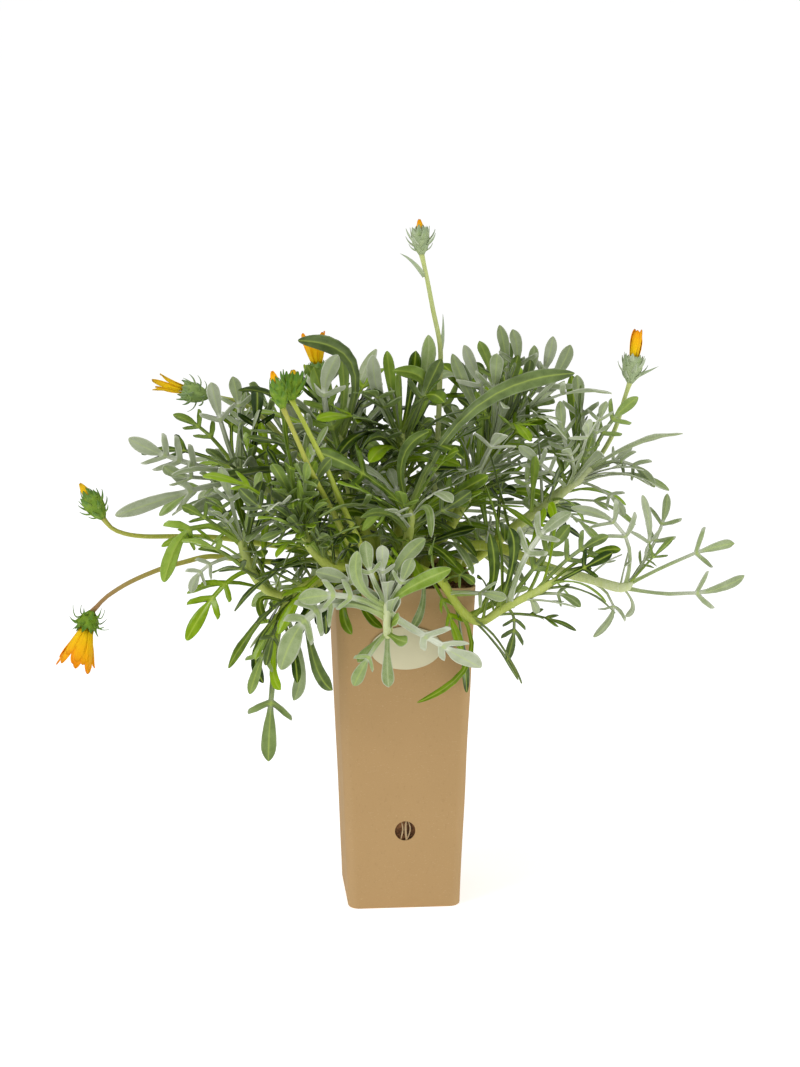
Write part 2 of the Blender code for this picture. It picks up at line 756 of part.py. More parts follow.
def tip_tree(spine, pairs, size):
    """A search tree of a leaf's outer two thirds."""
    bm = leaf_mesh(spine, pairs, size, LEAF_THICKNESS, 0)
    near = [vert for vert in bm.verts if (vert.co - spine.root).length < spine.length * 0.3]
    bmesh.ops.delete(bm, geom=near, context="VERTS")
    tree = tree_of(bm)
    bm.free()
    return tree


def place_leaf(plant, node, choose, pairs, size):
    """Places one leaf at the first of its ways to lie that crosses nothing. Returns its spine or None."""
    spare = None
    for attempt in range(TRIES):
        spine = choose(attempt)
        bm = leaf_mesh(spine, pairs, size, LEAF_THICKNESS + 2 * LEAF_MARGIN, LEAF_MARGIN)
        tree = tree_of(bm)
        bm.free()
        if plant.crosses_others(node, tree):
            continue
        tips = tip_tree(spine, pairs, size)
        if not plant.crosses_own(node, tips):
            return keep_leaf(plant, node, spine, pairs, size, tips)
        spare = spare or (spine, tips)
    if spare:
        return keep_leaf(plant, node, spare[0], pairs, size, spare[1])
    return None


def keep_leaf(plant, node, spine, pairs, size, tips):
    """Notes a leaf as placed."""
    bm = leaf_mesh(spine, pairs, size, LEAF_THICKNESS, 0)
    plant.add(node, bm)
    plant.blades.setdefault(node, []).append(tips)
    bm.free()
    return spine, pairs, size


def shown_leaf(route, leaf, draw):
    """The ways that a leaf given in the front view can lie: nearer or further, with the same look."""
    share, via, tip, depth, _, face = leaf
    root, ahead = along(route, share)
    root -= ahead * ROOT_SUNK
    roll = draw.uniform(-0.45, 0.45)
    twist = draw.uniform(-0.5, 0.5)
    back = front_axes()[2]

    def choose(attempt):
        shift = ((attempt + 1) // 2) * 4.0 * (1 if attempt % 2 else -1)
        reach = seen(*tip, depth + shift)
        middle = seen(*via, (root.y + depth + shift) / 2 + shift * 0.3)
        facing = Matrix.Rotation(roll, 3, (reach - root).normalized()) @ (back * face + UP * 0.35)
        return Spine(root, middle, reach, facing, twist)

    return choose


def crown_leaf(route, crown, number, draw):
    """The ways that a leaf of a shoot's crown can lie: round the stem by the golden turn."""
    count, length, spread = crown
    share = 1 - 0.55 * (number / count) ** 0.8
    root, ahead = along(route, share)
    root -= ahead * ROOT_SUNK
    ahead = (ahead + UP * 0.5).normalized()
    reach = length * draw.uniform(0.75, 1.15)
    open_angle = math.radians(spread * draw.uniform(0.6, 1.15) + 25 * (1 - share))
    start = draw.uniform(0, math.tau)
    twist = draw.uniform(-0.5, 0.5)
    droop = draw.uniform(0.05, 0.3)

    def choose(attempt):
        turn = number * GOLDEN_TURN + start + attempt * 0.61
        arm = Matrix.Rotation(turn, 3, ahead) @ ahead.orthogonal().normalized()
        heading = ahead * math.cos(open_angle) + arm * math.sin(open_angle)
        far = reach * (1 - 0.012 * attempt)
        tip = root + heading * far - UP * droop * far
        middle = root + heading * far * 0.52 + UP * droop * far * 0.12
        facing = ahead * math.sin(open_angle) - arm * math.cos(open_angle) + UP * 0.2
        return Spine(root, middle, tip, facing, twist)

    return choose


def leaf_size(length):
    """How big a leaf's blade and lobes are beside the full-grown ones."""
    return min(1.0, max(0.55, length / 78))


def stand(hole, points):
    """A stem's whole route: up out of its hole and on through its points in the front view."""
    foot = soil_top() - HOLE_DEPTH + HOLE_FLOOR
    x, y = hole
    surface = soil_top() + SOIL_RISE
    rise = [Vector((x, y, foot)), Vector((x, y, surface)), Vector((x, y, surface + UPRIGHT))]
    return rise + [seen(*point) for point in points]


def place_shoots(plant):
    """The leaves of every shoot: first those that the front view shows, then the crowns."""
    placed = {}
    routes = {}
    for name, entry in SHOOTS.items():
        routes[name] = smooth_route(stand(entry["hole"], entry["route"]), STEM_STEP)
        stem = tube(routes[name], entry["radii"], STEM_SIDES)
        plant.add(name, stem)
        stem.free()
        placed[name] = []
    for order, (name, entry) in enumerate(SHOOTS.items()):
        draw = random.Random(order)
        for leaf in entry["leaves"]:
            choose = shown_leaf(routes[name], leaf, draw)
            made = place_leaf(plant, name, choose, leaf[4], leaf_size(choose(0).length))
            if made:
                placed[name].append(made)
    for order, (name, entry) in enumerate(SHOOTS.items()):
        draw = random.Random(100 + order)
        for number in range(entry["crown"][0]):
            choose = crown_leaf(routes[name], entry["crown"], number, draw)
            pairs = draw.choice((0, 1, 1, 2))
            made = place_leaf(plant, name, choose, pairs, leaf_size(choose(0).length))
            if made:
                placed[name].append(made)
    return routes, placed


def build_shoot(name, route, radii, leaves):
    """One leafy shoot: its stem and its leaves joined into one body."""
    tint = LEAF_SILVER if "right" in name else LEAF_GREEN
    made = object_from(tube(route, radii, STEM_SIDES), name)
    joined = bpy.data.collections.new(name + " leaves")
    bpy.context.scene.collection.children.link(joined)
    for spine, pairs, size in leaves:
        object_from(leaf_mesh(spine, pairs, size, LEAF_THICKNESS, 0), "leaf", collection=joined)
    apply_boolean(made, joined, "UNION")
    keep_largest_body(made)
    made.data.materials.clear()
    made.data.materials.append(material(name + " green", tint, 0.6))
    return made


def turned(profile, sides):
    """A solid turned round +Z from (radius, height) points."""
    bm = bmesh.new()
    rings = []
    for radius, height in profile:
        ring = []
        for i in range(sides):
            angle = math.tau * i / sides
            ring.append(bm.verts.new((radius * math.cos(angle), radius * math.sin(angle), height)))
        rings.append(ring)
    for low, high in zip(rings, rings[1:]):
        for i in range(sides):
            j = (i + 1) % sides
            bm.faces.new((low[i], low[j], high[j], high[i]))
    bm.faces.new(list(reversed(rings[0])))
    bm.faces.new(rings[-1])
    return bm


def bract(radius, root, length, flare):
    """A narrow pointed bract on a cup's side, leaning out by flare in radians."""
    bm = bmesh.new()
    bmesh.ops.create_cone(bm, cap_ends=True, segments=3, radius1=1.5, radius2=0, depth=length)
    bmesh.ops.scale(bm, vec=(0.65, 1, 1), verts=bm.verts)
    lean = Matrix.Rotation(flare, 4, "Y") @ Matrix.Translation((0, 0, length / 2 - 1.2))
    bmesh.ops.transform(bm, matrix=Matrix.Translation((radius, 0, root)) @ lean, verts=bm.verts)
    return bm


def head_frame(entry, end):
    """The matrix that stands a head on its stalk's end, pointing the way it aims."""
    right, rise, _ = front_axes()
    across, up, depth = entry["aim"]
    axis = (right * across + rise * up + Vector((0, 1, 0)) * depth).normalized()
    return Matrix.Translation(end) @ axis.to_track_quat("Z", "Y").to_matrix().to_4x4()


def cup_profile(entry):
    """The turned outline of a flower's cup, from its stalk to its flat top."""
    radius, height = entry["cup"]
    return [(STALK_RADII[1], -1.0), (radius * 0.72, height * 0.2), (radius, height * 0.55),
            (radius * 0.86, height)]


def head_pieces(entry):
    """A cup's bracts in their rings, as bmeshes in the head's own frame."""
    radius, height = entry["cup"]
    count, length, flare = entry["bracts"]
    pieces = []
    for i in range(count):
        level = (0.52, 0.74)[i % 2]
        piece = bract(radius * 0.93, height * level, length, math.radians(flare) * (1.15, 0.85)[i % 2])
        bmesh.ops.rotate(piece, matrix=Matrix.Rotation(math.tau * i / count, 3, "Z"), verts=piece.verts)
        pieces.append(piece)
    return pieces


def petal_spine(entry, number):
    """One petal's midrib in the head's own frame."""
    count, length, _, low, high = entry["petals"]
    top = entry["cup"][1] + GAP
    turn = math.tau * number / count
    arm = Vector((math.cos(turn), math.sin(turn), 0))
    reach = length * (1, 0.86, 0.94)[number % 3]
    inner = 0.9 if number % 2 else 0
    root = arm * (low - 0.6 - inner) + UP * (top + 0.4)
    middle = arm * ((low + high) / 2 - inner + 0.8) + UP * (top + reach * 0.55)
    tip = arm * (high - inner) + UP * (top + reach)
    return Spine(root, middle, tip, -arm, 0.0)


def petal_mesh(entry, number):
    """One petal: narrow at its root, widest at its middle and blunt at its tip."""
    half = entry["petals"][2]
    spine = petal_spine(entry, number)
    bm = bmesh.new()
    normal = bm.verts.layers.float_vector.new("upper side")
    edges = []
    for share, width in ((0, 0.55), (0.6, 1.0), (1, 0.4)):
        middle, side, upper = spine.frame(share)
        row = []
        for turn in (-1, 1):
            vert = bm.verts.new(middle + side * turn * half * width - upper * LEAF_THICKNESS / 2)
            vert[normal] = upper
            row.append(vert)
        edges.append(row)
    for low, high in zip(edges, edges[1:]):
        bm.faces.new((low[0], low[1], high[1]))
        bm.faces.new((low[0], high[1], high[0]))
    thicken(bm, normal, LEAF_THICKNESS)
    return bm


def petal_core(entry):
    """What the petals stand on: a bud's whole closed cone, or the disc at the heart of an open head."""
    _, length, _, low, high = entry["petals"]
    top = entry["cup"][1] + GAP
    if high < low:
        return turned([(low, top), (low, top + length * 0.45), (high, top + length)], HEAD_SIDES)
    return turned([(low, top), (low, top + 1.4), (low * 0.5, top + length * 0.3)], HEAD_SIDES)


def flower_stalk(plant, name, entry, green):
    """A flower's stalk with its cup and bracts, standing in the soil."""
    route = smooth_route(stand(entry["hole"], entry["route"]), STALK_STEP)
    frame = head_frame(entry, route[-1])
    made = object_from(tube(route, STALK_RADII, STALK_SIDES), name + "_stalk")
    joined = bpy.data.collections.new(name + " head")
    bpy.context.scene.collection.children.link(joined)
    pieces = [turned(cup_profile(entry), HEAD_SIDES)] + head_pieces(entry)
    stalk = tube(route, STALK_RADII, STALK_SIDES)
    plant.add(name + "_stalk", stalk)
    stalk.free()
    for piece in pieces:
        bmesh.ops.recalc_face_normals(piece, faces=piece.faces)
        bmesh.ops.transform(piece, matrix=frame, verts=piece.verts)
        plant.add(name + "_stalk", piece)
        object_from(piece, "piece", collection=joined)
    apply_boolean(made, joined, "UNION")
    keep_largest_body(made)
    made.data.materials.clear()
    made.data.materials.append(green)
    return frame


def flower_petals(plant, name, entry, frame):
    """A flower's petals on their disc, resting on the cup. A bud's are still one closed cone."""
    node = name + "_petals"
    core = petal_core(entry)
    bmesh.ops.transform(core, matrix=frame, verts=core.verts)
    plant.add(node, core)
    made = object_from(core, node)
    if entry["petals"][4] > entry["petals"][3]:
        joined = bpy.data.collections.new(node)
        bpy.context.scene.collection.children.link(joined)
        for number in range(entry["petals"][0]):
            petal = petal_mesh(entry, number)
            bmesh.ops.transform(petal, matrix=frame, verts=petal.verts)
            plant.add(node, petal)
            object_from(petal, "petal", collection=joined)
        apply_boolean(made, joined, "UNION")
        keep_largest_body(made)
    made.data.materials.clear()
    made.data.materials.append(material(node, entry["colour"], 0.5))
    return made


def main():
    """Builds every node: the carton and what fills it, the flowers, and the shoots bent clear of them."""
    clear_scene()
    plant = Plant()
    inner = CORNER_RADIUS - BOARD
    shell = square_loft([(FOOT_HALF, CORNER_RADIUS, 0), (RIM_HALF, CORNER_RADIUS, CARTON_HEIGHT),
                         (RIM_HALF - BOARD, inner, CARTON_HEIGHT),
                         (RIM_HALF - BOARD, inner, CARTON_HEIGHT - 3 * HOLE_DEPTH)])
    plant.add("carton", shell)
    crust = RIM_HALF - SOIL_EDGE
    plant.add("soil", square_loft([(crust, CORNER_RADIUS, soil_top() - HOLE_DEPTH),
                                   (crust, CORNER_RADIUS, soil_top() + SOIL_RISE)]))
    carton()
    label()
    soil()
    green = material("stalk green", STALK_GREEN, 0.55)
    for name, entry in FLOWERS.items():
        frame = flower_stalk(plant, name, entry, green)
        flower_petals(plant, name, entry, frame)
    routes, placed = place_shoots(plant)
    for name, entry in SHOOTS.items():
        build_shoot(name, routes[name], entry["radii"], placed[name])


main()
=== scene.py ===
"""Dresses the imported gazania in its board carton: fine leaves, petals, board, label and soil.

Lengths in the tables and in the mesh code are millimetres, and meshes are written in metres.
"""

import math
import random

import bmesh
import bpy
from bpy.props import FloatProperty, FloatVectorProperty, IntProperty, PointerProperty
from bpy.types import Operator, Panel, PropertyGroup
from mathutils import Matrix, Vector, noise
from mathutils.bvhtree import BVHTree
from mathutils.kdtree import KDTree


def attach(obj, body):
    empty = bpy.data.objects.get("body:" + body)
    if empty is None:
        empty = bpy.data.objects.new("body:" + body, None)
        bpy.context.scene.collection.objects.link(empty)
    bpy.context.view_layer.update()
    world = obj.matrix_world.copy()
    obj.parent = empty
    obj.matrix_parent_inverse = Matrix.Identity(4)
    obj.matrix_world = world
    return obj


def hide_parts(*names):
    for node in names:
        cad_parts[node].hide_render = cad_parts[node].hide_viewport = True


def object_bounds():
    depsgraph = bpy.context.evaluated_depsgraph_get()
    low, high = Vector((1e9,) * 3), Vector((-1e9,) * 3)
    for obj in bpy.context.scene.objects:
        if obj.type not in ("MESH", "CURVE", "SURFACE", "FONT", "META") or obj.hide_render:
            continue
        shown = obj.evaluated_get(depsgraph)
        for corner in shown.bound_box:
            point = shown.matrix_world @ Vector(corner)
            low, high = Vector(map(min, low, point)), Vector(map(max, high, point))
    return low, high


bl_info = {
    "name": "Potted gazania",
    "version": (1, 0, 0),
    "blender": (4, 5, 0),
    "location": "3D View > Sidebar > Gazania",
    "description": "Builds the fine leaves, flowers, carton and soil of a potted gazania",
    "category": "Object",
}

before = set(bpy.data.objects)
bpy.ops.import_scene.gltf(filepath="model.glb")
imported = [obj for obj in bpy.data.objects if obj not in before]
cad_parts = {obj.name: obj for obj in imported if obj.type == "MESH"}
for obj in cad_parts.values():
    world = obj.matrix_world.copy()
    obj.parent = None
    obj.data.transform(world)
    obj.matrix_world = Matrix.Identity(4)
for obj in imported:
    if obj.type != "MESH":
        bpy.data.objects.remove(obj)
CAD_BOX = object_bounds()

MM = 0.001
GAP = 0.3
UP = Vector((0, 0, 1))

# The carton's and the plant's sizes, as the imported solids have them
CARTON_HEIGHT = 226.5
FOOT_HALF = 38.5
RIM_HALF = 47.5
BOARD = 1.2
LABEL_HALF_WIDTH = 24.0
LABEL_HALF_HEIGHT = 15.0
LABEL_THICKNESS = 0.6
SOIL_BELOW_RIM = 3.5
SOIL_RISE = 1.5
HOLE_DEPTH = 26.0
HOLE_FLOOR = 2.5
LEAF_THICKNESS = 0.7
LEAF_CUP = 0.18
ROOT_SUNK = 3.0
BLADE_HALF_WIDTH = 5.2
STRAP_HALF_WIDTH = 2.2
LOBE_HALF_WIDTH = 2.7
LOBE_REACH = 15.0
LOBE_FORWARD = 11.0
GROWN_LENGTH = 78.0
LEAST_SIZE = 0.55
GOLDEN_TURN = math.radians(137.5)
TRIES = 40
STEM_STEP = 17.0
STALK_STEP = 26.0
STALK_RADII = (2.4, 1.4)
UPRIGHT = 7.0

# How closely the fine stems and stalks follow their routes, and how many sides they have
FINE_STEM_STEP = 4.0
FINE_STEM_SIDES = 10
FINE_STALK_STEP = 5.0
FINE_STALK_SIDES = 12

# A leaf's outline in steps of (share of its length, half width): a lobed leaf's stalk and its end beyond
# the lobes, a plain leaf and a strap. Then the places across a lobe, along a rounded tip and across the
# blade from edge to edge.
PETIOLE = ((0.0, 2.8), (0.05, 2.3), (0.12, 1.9), (0.22, 1.8), (0.32, 1.9))
LOBED_END = ((0.2, 2.5), (0.45, 3.9), (0.75, 4.9))
PLAIN = ((0, 2.8), (0.06, 2.3), (0.15, 2.0), (0.3, 2.3), (0.42, 2.9), (0.54, 3.7), (0.65, 4.5), (0.74, 5.0))
STRAP = ((0, 2.0), (0.06, 1.5), (0.15, 1.3), (0.3, 1.5), (0.45, 1.8), (0.6, 2.0), (0.72, 2.15))
LOBE_ACROSS = (-1.0, -0.9, -0.55, 0.0, 0.55, 0.9, 1.0)
TIP_ROUND = (0.0, 0.3, 0.55, 0.75, 0.89, 0.97, 1.0)
ACROSS = (-1.0, -0.82, -0.5, -0.2, 0.0, 0.2, 0.5, 0.82, 1.0)
PETIOLE_HALF_WIDTH = 1.8
LOBES_FROM = 0.36
LOBES_TO = 0.74
PLAIN_ROUND_FROM = 0.82
LOBED_ROUND_FROM = 0.88
TIP_END = 1.015
MOST_LOBES = 8
LOBE_LIFT = (-1.6, 1.4)
WAVE_LENGTH = 15.0

# Where a packed leaf's last corners are, as (share of its length, half width), by its pairs of lobes
PACKED_TIPS = {-1: ((1, 0.9), (0.8, STRAP_HALF_WIDTH)), 0: ((1, 2.0), (0.82, BLADE_HALF_WIDTH)),
               1: ((1, 1.9), (0.91, BLADE_HALF_WIDTH))}
NEAR_ENOUGH = 0.3
BOX_MARGIN = 2

# Colours of small marks, linear
BOARD_FLECK = (0.68, 0.52, 0.32)
BOARD_FOLD = (0.74, 0.55, 0.34)
BOARD_CUT = (0.58, 0.42, 0.23)
PAPER_FIBRE = (0.45, 0.40, 0.24)
SOIL_CHIP = (0.42, 0.27, 0.14)
ROOT_PALE = (0.55, 0.42, 0.24)
ROOT_DARK = (0.30, 0.19, 0.09)
LEAF_RIB = (0.40, 0.52, 0.06)
STEM_SHADE = (0.27, 0.37, 0.03)
STEM_LINE = (0.56, 0.60, 0.22)
STEM_BLUSH = (0.42, 0.30, 0.10)
CUP_PALE = (0.28, 0.40, 0.02)
CUP_TIP = (0.045, 0.08, 0.01)
PETAL_FADED = (0.50, 0.33, 0.03)

# How much felt the silver leaves, those of the front shoot and the green ones have, and how pale the
# silver ones are
SILVER_FELT = (0.68, 1.0)
FRONT_FELT = (0.45, 1.0)
GREEN_FELT = (0.0, 0.3)
SILVER_TONE = (0.45, 1.0)

# The power that darkens the green leaves, more with a higher one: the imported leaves, the small ones,
# those in front of the buds' stalks, and the hanging ones
PACKED_AGE = 2.1
SMALL_AGE = 1.65
VEIL_AGE = 0.75
HANGING_AGE = 3.2

# The front view that the plant's places are given in
VIEW_TURN = math.radians(-5)
VIEW_TILT = math.radians(12)
EYE_DISTANCE = 1900.0
EYE_RISE = 249.0
VIEW_WIDTH = 560.0

# Each leafy shoot: its hole in the soil, its radii, its crown, its route and its leaves.
# A route point is (across, up, depth) in the front view. A leaf is (place along the stem, the point
# across and up that it passes, its tip across and up, its tip's depth, pairs of lobes or -1 for a
# narrow strap, and 1 where its upper side faces the front, -1 where the lower side does). A crown is
# (count, length, spread).
SHOOTS = {
    "shoot_front": {
        "hole": (-6, -37), "radii": (3.2, 2.6), "crown": (1, 40, 30),
        "route": [(-8, 222, -45), (-8, 217, -60), (-8, 198, -70), (-8, 180, -78), (-9, 180, -94),
                  (-9, 194, -100), (-9, 203, -100)],
        "leaves": [
            (0.97, (-28, 213), (-30, 236), -112, 0, -1), (0.99, (-20, 220), (-24, 243), -106, 1, 1),
            (1.00, (-12, 220), (-12, 240), -110, 1, -1), (0.98, (0, 213), (8, 231), -114, 1, -1),
            (1.00, (-2, 224), (17, 245), -98, 0, -1), (0.95, (5, 210), (35, 224), -114, 0, 1),
            (0.95, (-27, 212), (-58, 222), -104, 2, -1), (0.91, (-38, 205), (-70, 203), -98, 2, -1),
            (0.87, (-55, 197), (-83, 155), -94, 3, -1), (0.90, (21, 175), (56, 156), -88, 2, -1),
            (0.70, (-21, 164), (-32, 143), -104, 1, -1), (0.66, (-19, 170), (-29, 159), -98, 0, 1),
            (0.68, (-9, 159), (-8, 142), -100, 0, 1), (0.74, (-2, 175), (5, 173), -108, 0, 1),
        ],
    },
    "shoot_front_right": {
        "hole": (5, -22), "radii": (3.3, 2.5), "crown": (2, 55, 40),
        "route": [(7, 226, -34), (17, 223, -50), (28, 217, -58), (36, 205, -62), (44, 194, -64),
                  (56, 187, -66), (70, 195, -68), (85, 203, -71), (101, 211, -76), (109, 217, -78)],
        "leaves": [
            (0.20, (16, 201), (8, 182), -72, 0, 1), (0.50, (48, 159), (13, 131), -76, -1, 1),
            (0.58, (65, 215), (63, 248), -62, 0, 1), (0.70, (79, 229), (77, 252), -74, 0, 1),
            (0.76, (92, 239), (119, 263), -84, 2, 1), (0.88, (120, 233), (145, 247), -88, 2, -1),
            (0.93, (127, 224), (148, 235), -98, 1, 1), (0.82, (109, 207), (126, 198), -86, 1, 1),
            (0.74, (80, 187), (75, 160), -76, 2, -1), (0.84, (93, 201), (96, 193), -78, 0, -1),
        ],
    },
    "shoot_far_right": {
        "hole": (36, -12), "radii": (3.8, 3.2), "crown": (1, 40, 25),
        "route": [(46, 239, -12), (70, 239, -20), (101, 226, -30), (133, 217, -38), (155, 211, -44),
                  (163, 215, -45)],
        "leaves": [
            (0.98, (174, 240), (170, 275), -54, 1, -1), (0.99, (180, 247), (187, 276), -46, 2, -1),
            (1.00, (176, 231), (191, 246), -60, 1, -1), (0.98, (204, 234), (233, 242), -44, 1, -1),
            (0.93, (204, 207), (240, 219), -52, 1, -1), (0.96, (156, 250), (121, 267), -64, 2, -1),
            (0.72, (149, 200), (136, 177), -40, 1, -1), (0.93, (163, 199), (158, 191), -46, 0, -1),
        ],
    },
    "shoot_right_upper": {
        "hole": (31, 10), "radii": (4.0, 3.2), "crown": (3, 70, 45),
        "route": [(51, 231, 10), (78, 252, 4), (105, 271, -2), (127, 289, -6), (135, 296, -6)],
        "leaves": [
            (0.95, (148, 299), (162, 311), -4, 1, -1), (0.97, (157, 299), (178, 282), -16, 2, -1),
            (0.86, (145, 277), (157, 262), -20, 1, -1), (0.98, (144, 322), (166, 344), -2, 2, -1),
            (0.97, (127, 329), (124, 359), -10, 1, -1), (0.98, (138, 322), (144, 341), -22, 2, -1),
            (0.88, (116, 311), (112, 341), -24, 2, -1), (0.78, (103, 294), (84, 310), -34, 2, -1),
            (0.60, (89, 282), (95, 308), -26, 1, 1),
        ],
    },
    "shoot_crown_right": {
        "hole": (17, 6), "radii": (4.0, 3.0), "crown": (5, 85, 50),
        "route": [(26, 239, 4), (46, 273, 4), (65, 308, 4), (75, 330, 4)],
        "leaves": [
            (0.97, (75, 360), (70, 394), 2, 1, -1), (0.98, (82, 364), (79, 391), -8, 1, -1),
            (0.95, (65, 357), (56, 383), -8, 1, -1), (0.93, (57, 350), (45, 380), -14, 1, -1),
            (0.88, (50, 343), (37, 374), -2, 0, -1), (0.97, (89, 358), (94, 380), 8, 0, 1),
            (0.96, (96, 353), (107, 386), 12, 2, -1), (0.94, (102, 350), (119, 380), 2, 1, -1),
            (0.90, (84, 346), (91, 370), -20, 1, -1), (0.75, (84, 322), (103, 329), -30, 2, 1),
        ],
    },
    "shoot_centre_front": {
        "hole": (-2, -3), "radii": (3.6, 3.0), "crown": (3, 65, 35),
        "route": [(2, 233, -18), (7, 253, -38), (7, 267, -46)],
        "leaves": [
            (0.98, (-23, 289), (-58, 306), -72, 1, 1), (0.93, (-14, 271), (-31, 272), -70, 0, 1),
            (0.99, (1, 299), (19, 320), -58, 0, -1), (0.97, (49, 334), (120, 361), -34, 0, -1),
            (0.92, (19, 267), (22, 247), -76, 0, 1), (0.85, (-9, 264), (-26, 252), -74, 1, -1),
            (0.80, (28, 264), (49, 278), -66, 1, -1), (0.90, (32, 273), (61, 289), -58, 1, 1),
        ],
    },
    "shoot_centre": {
        "hole": (-2, 16), "radii": (3.8, 3.0), "crown": (7, 80, 50),
        "route": [(-2, 238, 14), (0, 273, 8), (1, 308, 2), (1, 322, 0)],
        "leaves": [
            (0.98, (16, 353), (20, 387), 0, 0, 1), (0.97, (8, 351), (11, 376), -10, 0, 1),
            (0.96, (-5, 346), (-9, 376), 2, 0, -1), (0.94, (19, 351), (-4, 363), -20, 0, -1),
            (0.95, (-14, 343), (-19, 373), -16, 0, -1),
        ],
    },
    "shoot_crown_left": {
        "hole": (-17, 4), "radii": (3.8, 3.0), "crown": (8, 80, 50),
        "route": [(-20, 239, 0), (-33, 273, -6), (-41, 308, -8), (-44, 320, -8)],
        "leaves": [
            (0.98, (-39, 355), (-45, 384), -12, 0, -1), (0.95, (-33, 366), (-70, 384), -24, 0, -1),
            (0.90, (-53, 343), (-44, 373), -34, 1, -1),
        ],
    },
    "shoot_left_upper": {
        "hole": (-31, 16), "radii": (3.8, 3.0), "crown": (4, 75, 45),
        "route": [(-47, 239, 18), (-73, 264, 18), (-103, 284, 12), (-118, 296, 8)],
        "leaves": [
            (0.97, (-151, 299), (-189, 315), -10, 3, -1), (0.93, (-144, 288), (-165, 296), -18, 1, -1),
            (0.98, (-135, 319), (-158, 332), 6, 2, -1), (0.98, (-125, 326), (-132, 354), -10, 1, -1),
            (0.96, (-112, 329), (-117, 358), 14, 2, -1), (0.90, (-101, 322), (-100, 352), 4, 1, 1),
            (0.88, (-142, 280), (-198, 262), -6, 1, -1), (0.84, (-126, 275), (-147, 263), -28, 0, 1),
            (0.70, (-93, 298), (-97, 326), -4, 2, 1),
        ],
    },
    "shoot_left_low": {
        "hole": (-36, -7), "radii": (4.2, 3.0), "crown": (4, 65, 40),
        "route": [(-45, 221, -20), (-62, 211, -30), (-84, 205, -34), (-100, 217, -34),
                  (-108, 233, -34), (-112, 247, -33)],
        "leaves": [
            (0.97, (-145, 253), (-165, 216), -44, 1, -1), (0.96, (-135, 259), (-152, 268), -40, 1, -1),
            (0.98, (-118, 270), (-125, 295), -52, 1, -1), (0.88, (-135, 226), (-146, 208), -48, 2, -1),
            (0.76, (-125, 211), (-149, 175), -56, 2, 1), (0.98, (-104, 270), (-97, 291), -58, 2, 1),
        ],
    },
    "shoot_left_hanging": {
        "hole": (-37, -24), "radii": (3.4, 2.4), "crown": (1, 40, 25),
        "route": [(-47, 222, -42), (-63, 214, -52), (-76, 205, -55), (-83, 194, -56), (-85, 184, -56)],
        "leaves": [
            (0.74, (-97, 203), (-94, 187), -66, 0, 1), (0.85, (-100, 169), (-96, 145), -60, 0, 1),
            (0.93, (-96, 173), (-101, 161), -70, 0, 1), (0.97, (-89, 157), (-84, 140), -66, 0, 1),
            (0.90, (-75, 168), (-72, 145), -68, 0, 1), (1.00, (-90, 135), (-92, 91), -56, 1, -1),
            (0.80, (-70, 161), (-74, 133), -56, 0, -1), (0.50, (-61, 164), (-48, 140), -66, 0, -1),
            (0.40, (-53, 194), (-52, 179), -44, 0, 1),
        ],
    },
    "shoot_front_left": {
        "hole": (-33, -37), "radii": (3.6, 2.8), "crown": (5, 62, 45),
        "route": [(-34, 225, -42), (-49, 226, -58), (-63, 240, -66), (-70, 259, -68), (-73, 268, -68)],
        "leaves": [
            (0.93, (-91, 264), (-112, 280), -92, 3, -1), (0.98, (-79, 280), (-87, 295), -84, 2, -1),
            (0.99, (-66, 284), (-70, 299), -80, 3, 1), (0.90, (-80, 252), (-97, 245), -86, 1, -1),
            (0.18, (-40, 198), (-34, 179), -66, 0, 1), (0.20, (-26, 198), (-13, 183), -70, 0, 1),
        ],
    },
    "shoot_back_left": {
        "hole": (-15, 34), "radii": (4.0, 3.0), "crown": (10, 88, 55),
        "route": [(-20, 252, 56), (-46, 273, 92), (-70, 294, 118), (-79, 303, 124)],
        "leaves": [],
    },
    "shoot_back_right": {
        "hole": (20, 34), "radii": (4.0, 3.0), "crown": (10, 88, 55),
        "route": [(25, 252, 56), (47, 276, 96), (63, 301, 120), (67, 309, 124)],
        "leaves": [],
    },
    "shoot_back_low": {
        "hole": (1, 38), "radii": (3.8, 2.8), "crown": (9, 78, 60),
        "route": [(2, 249, 58), (5, 245, 92), (7, 245, 122), (8, 255, 144), (9, 266, 150)],
        "leaves": [],
    },
}

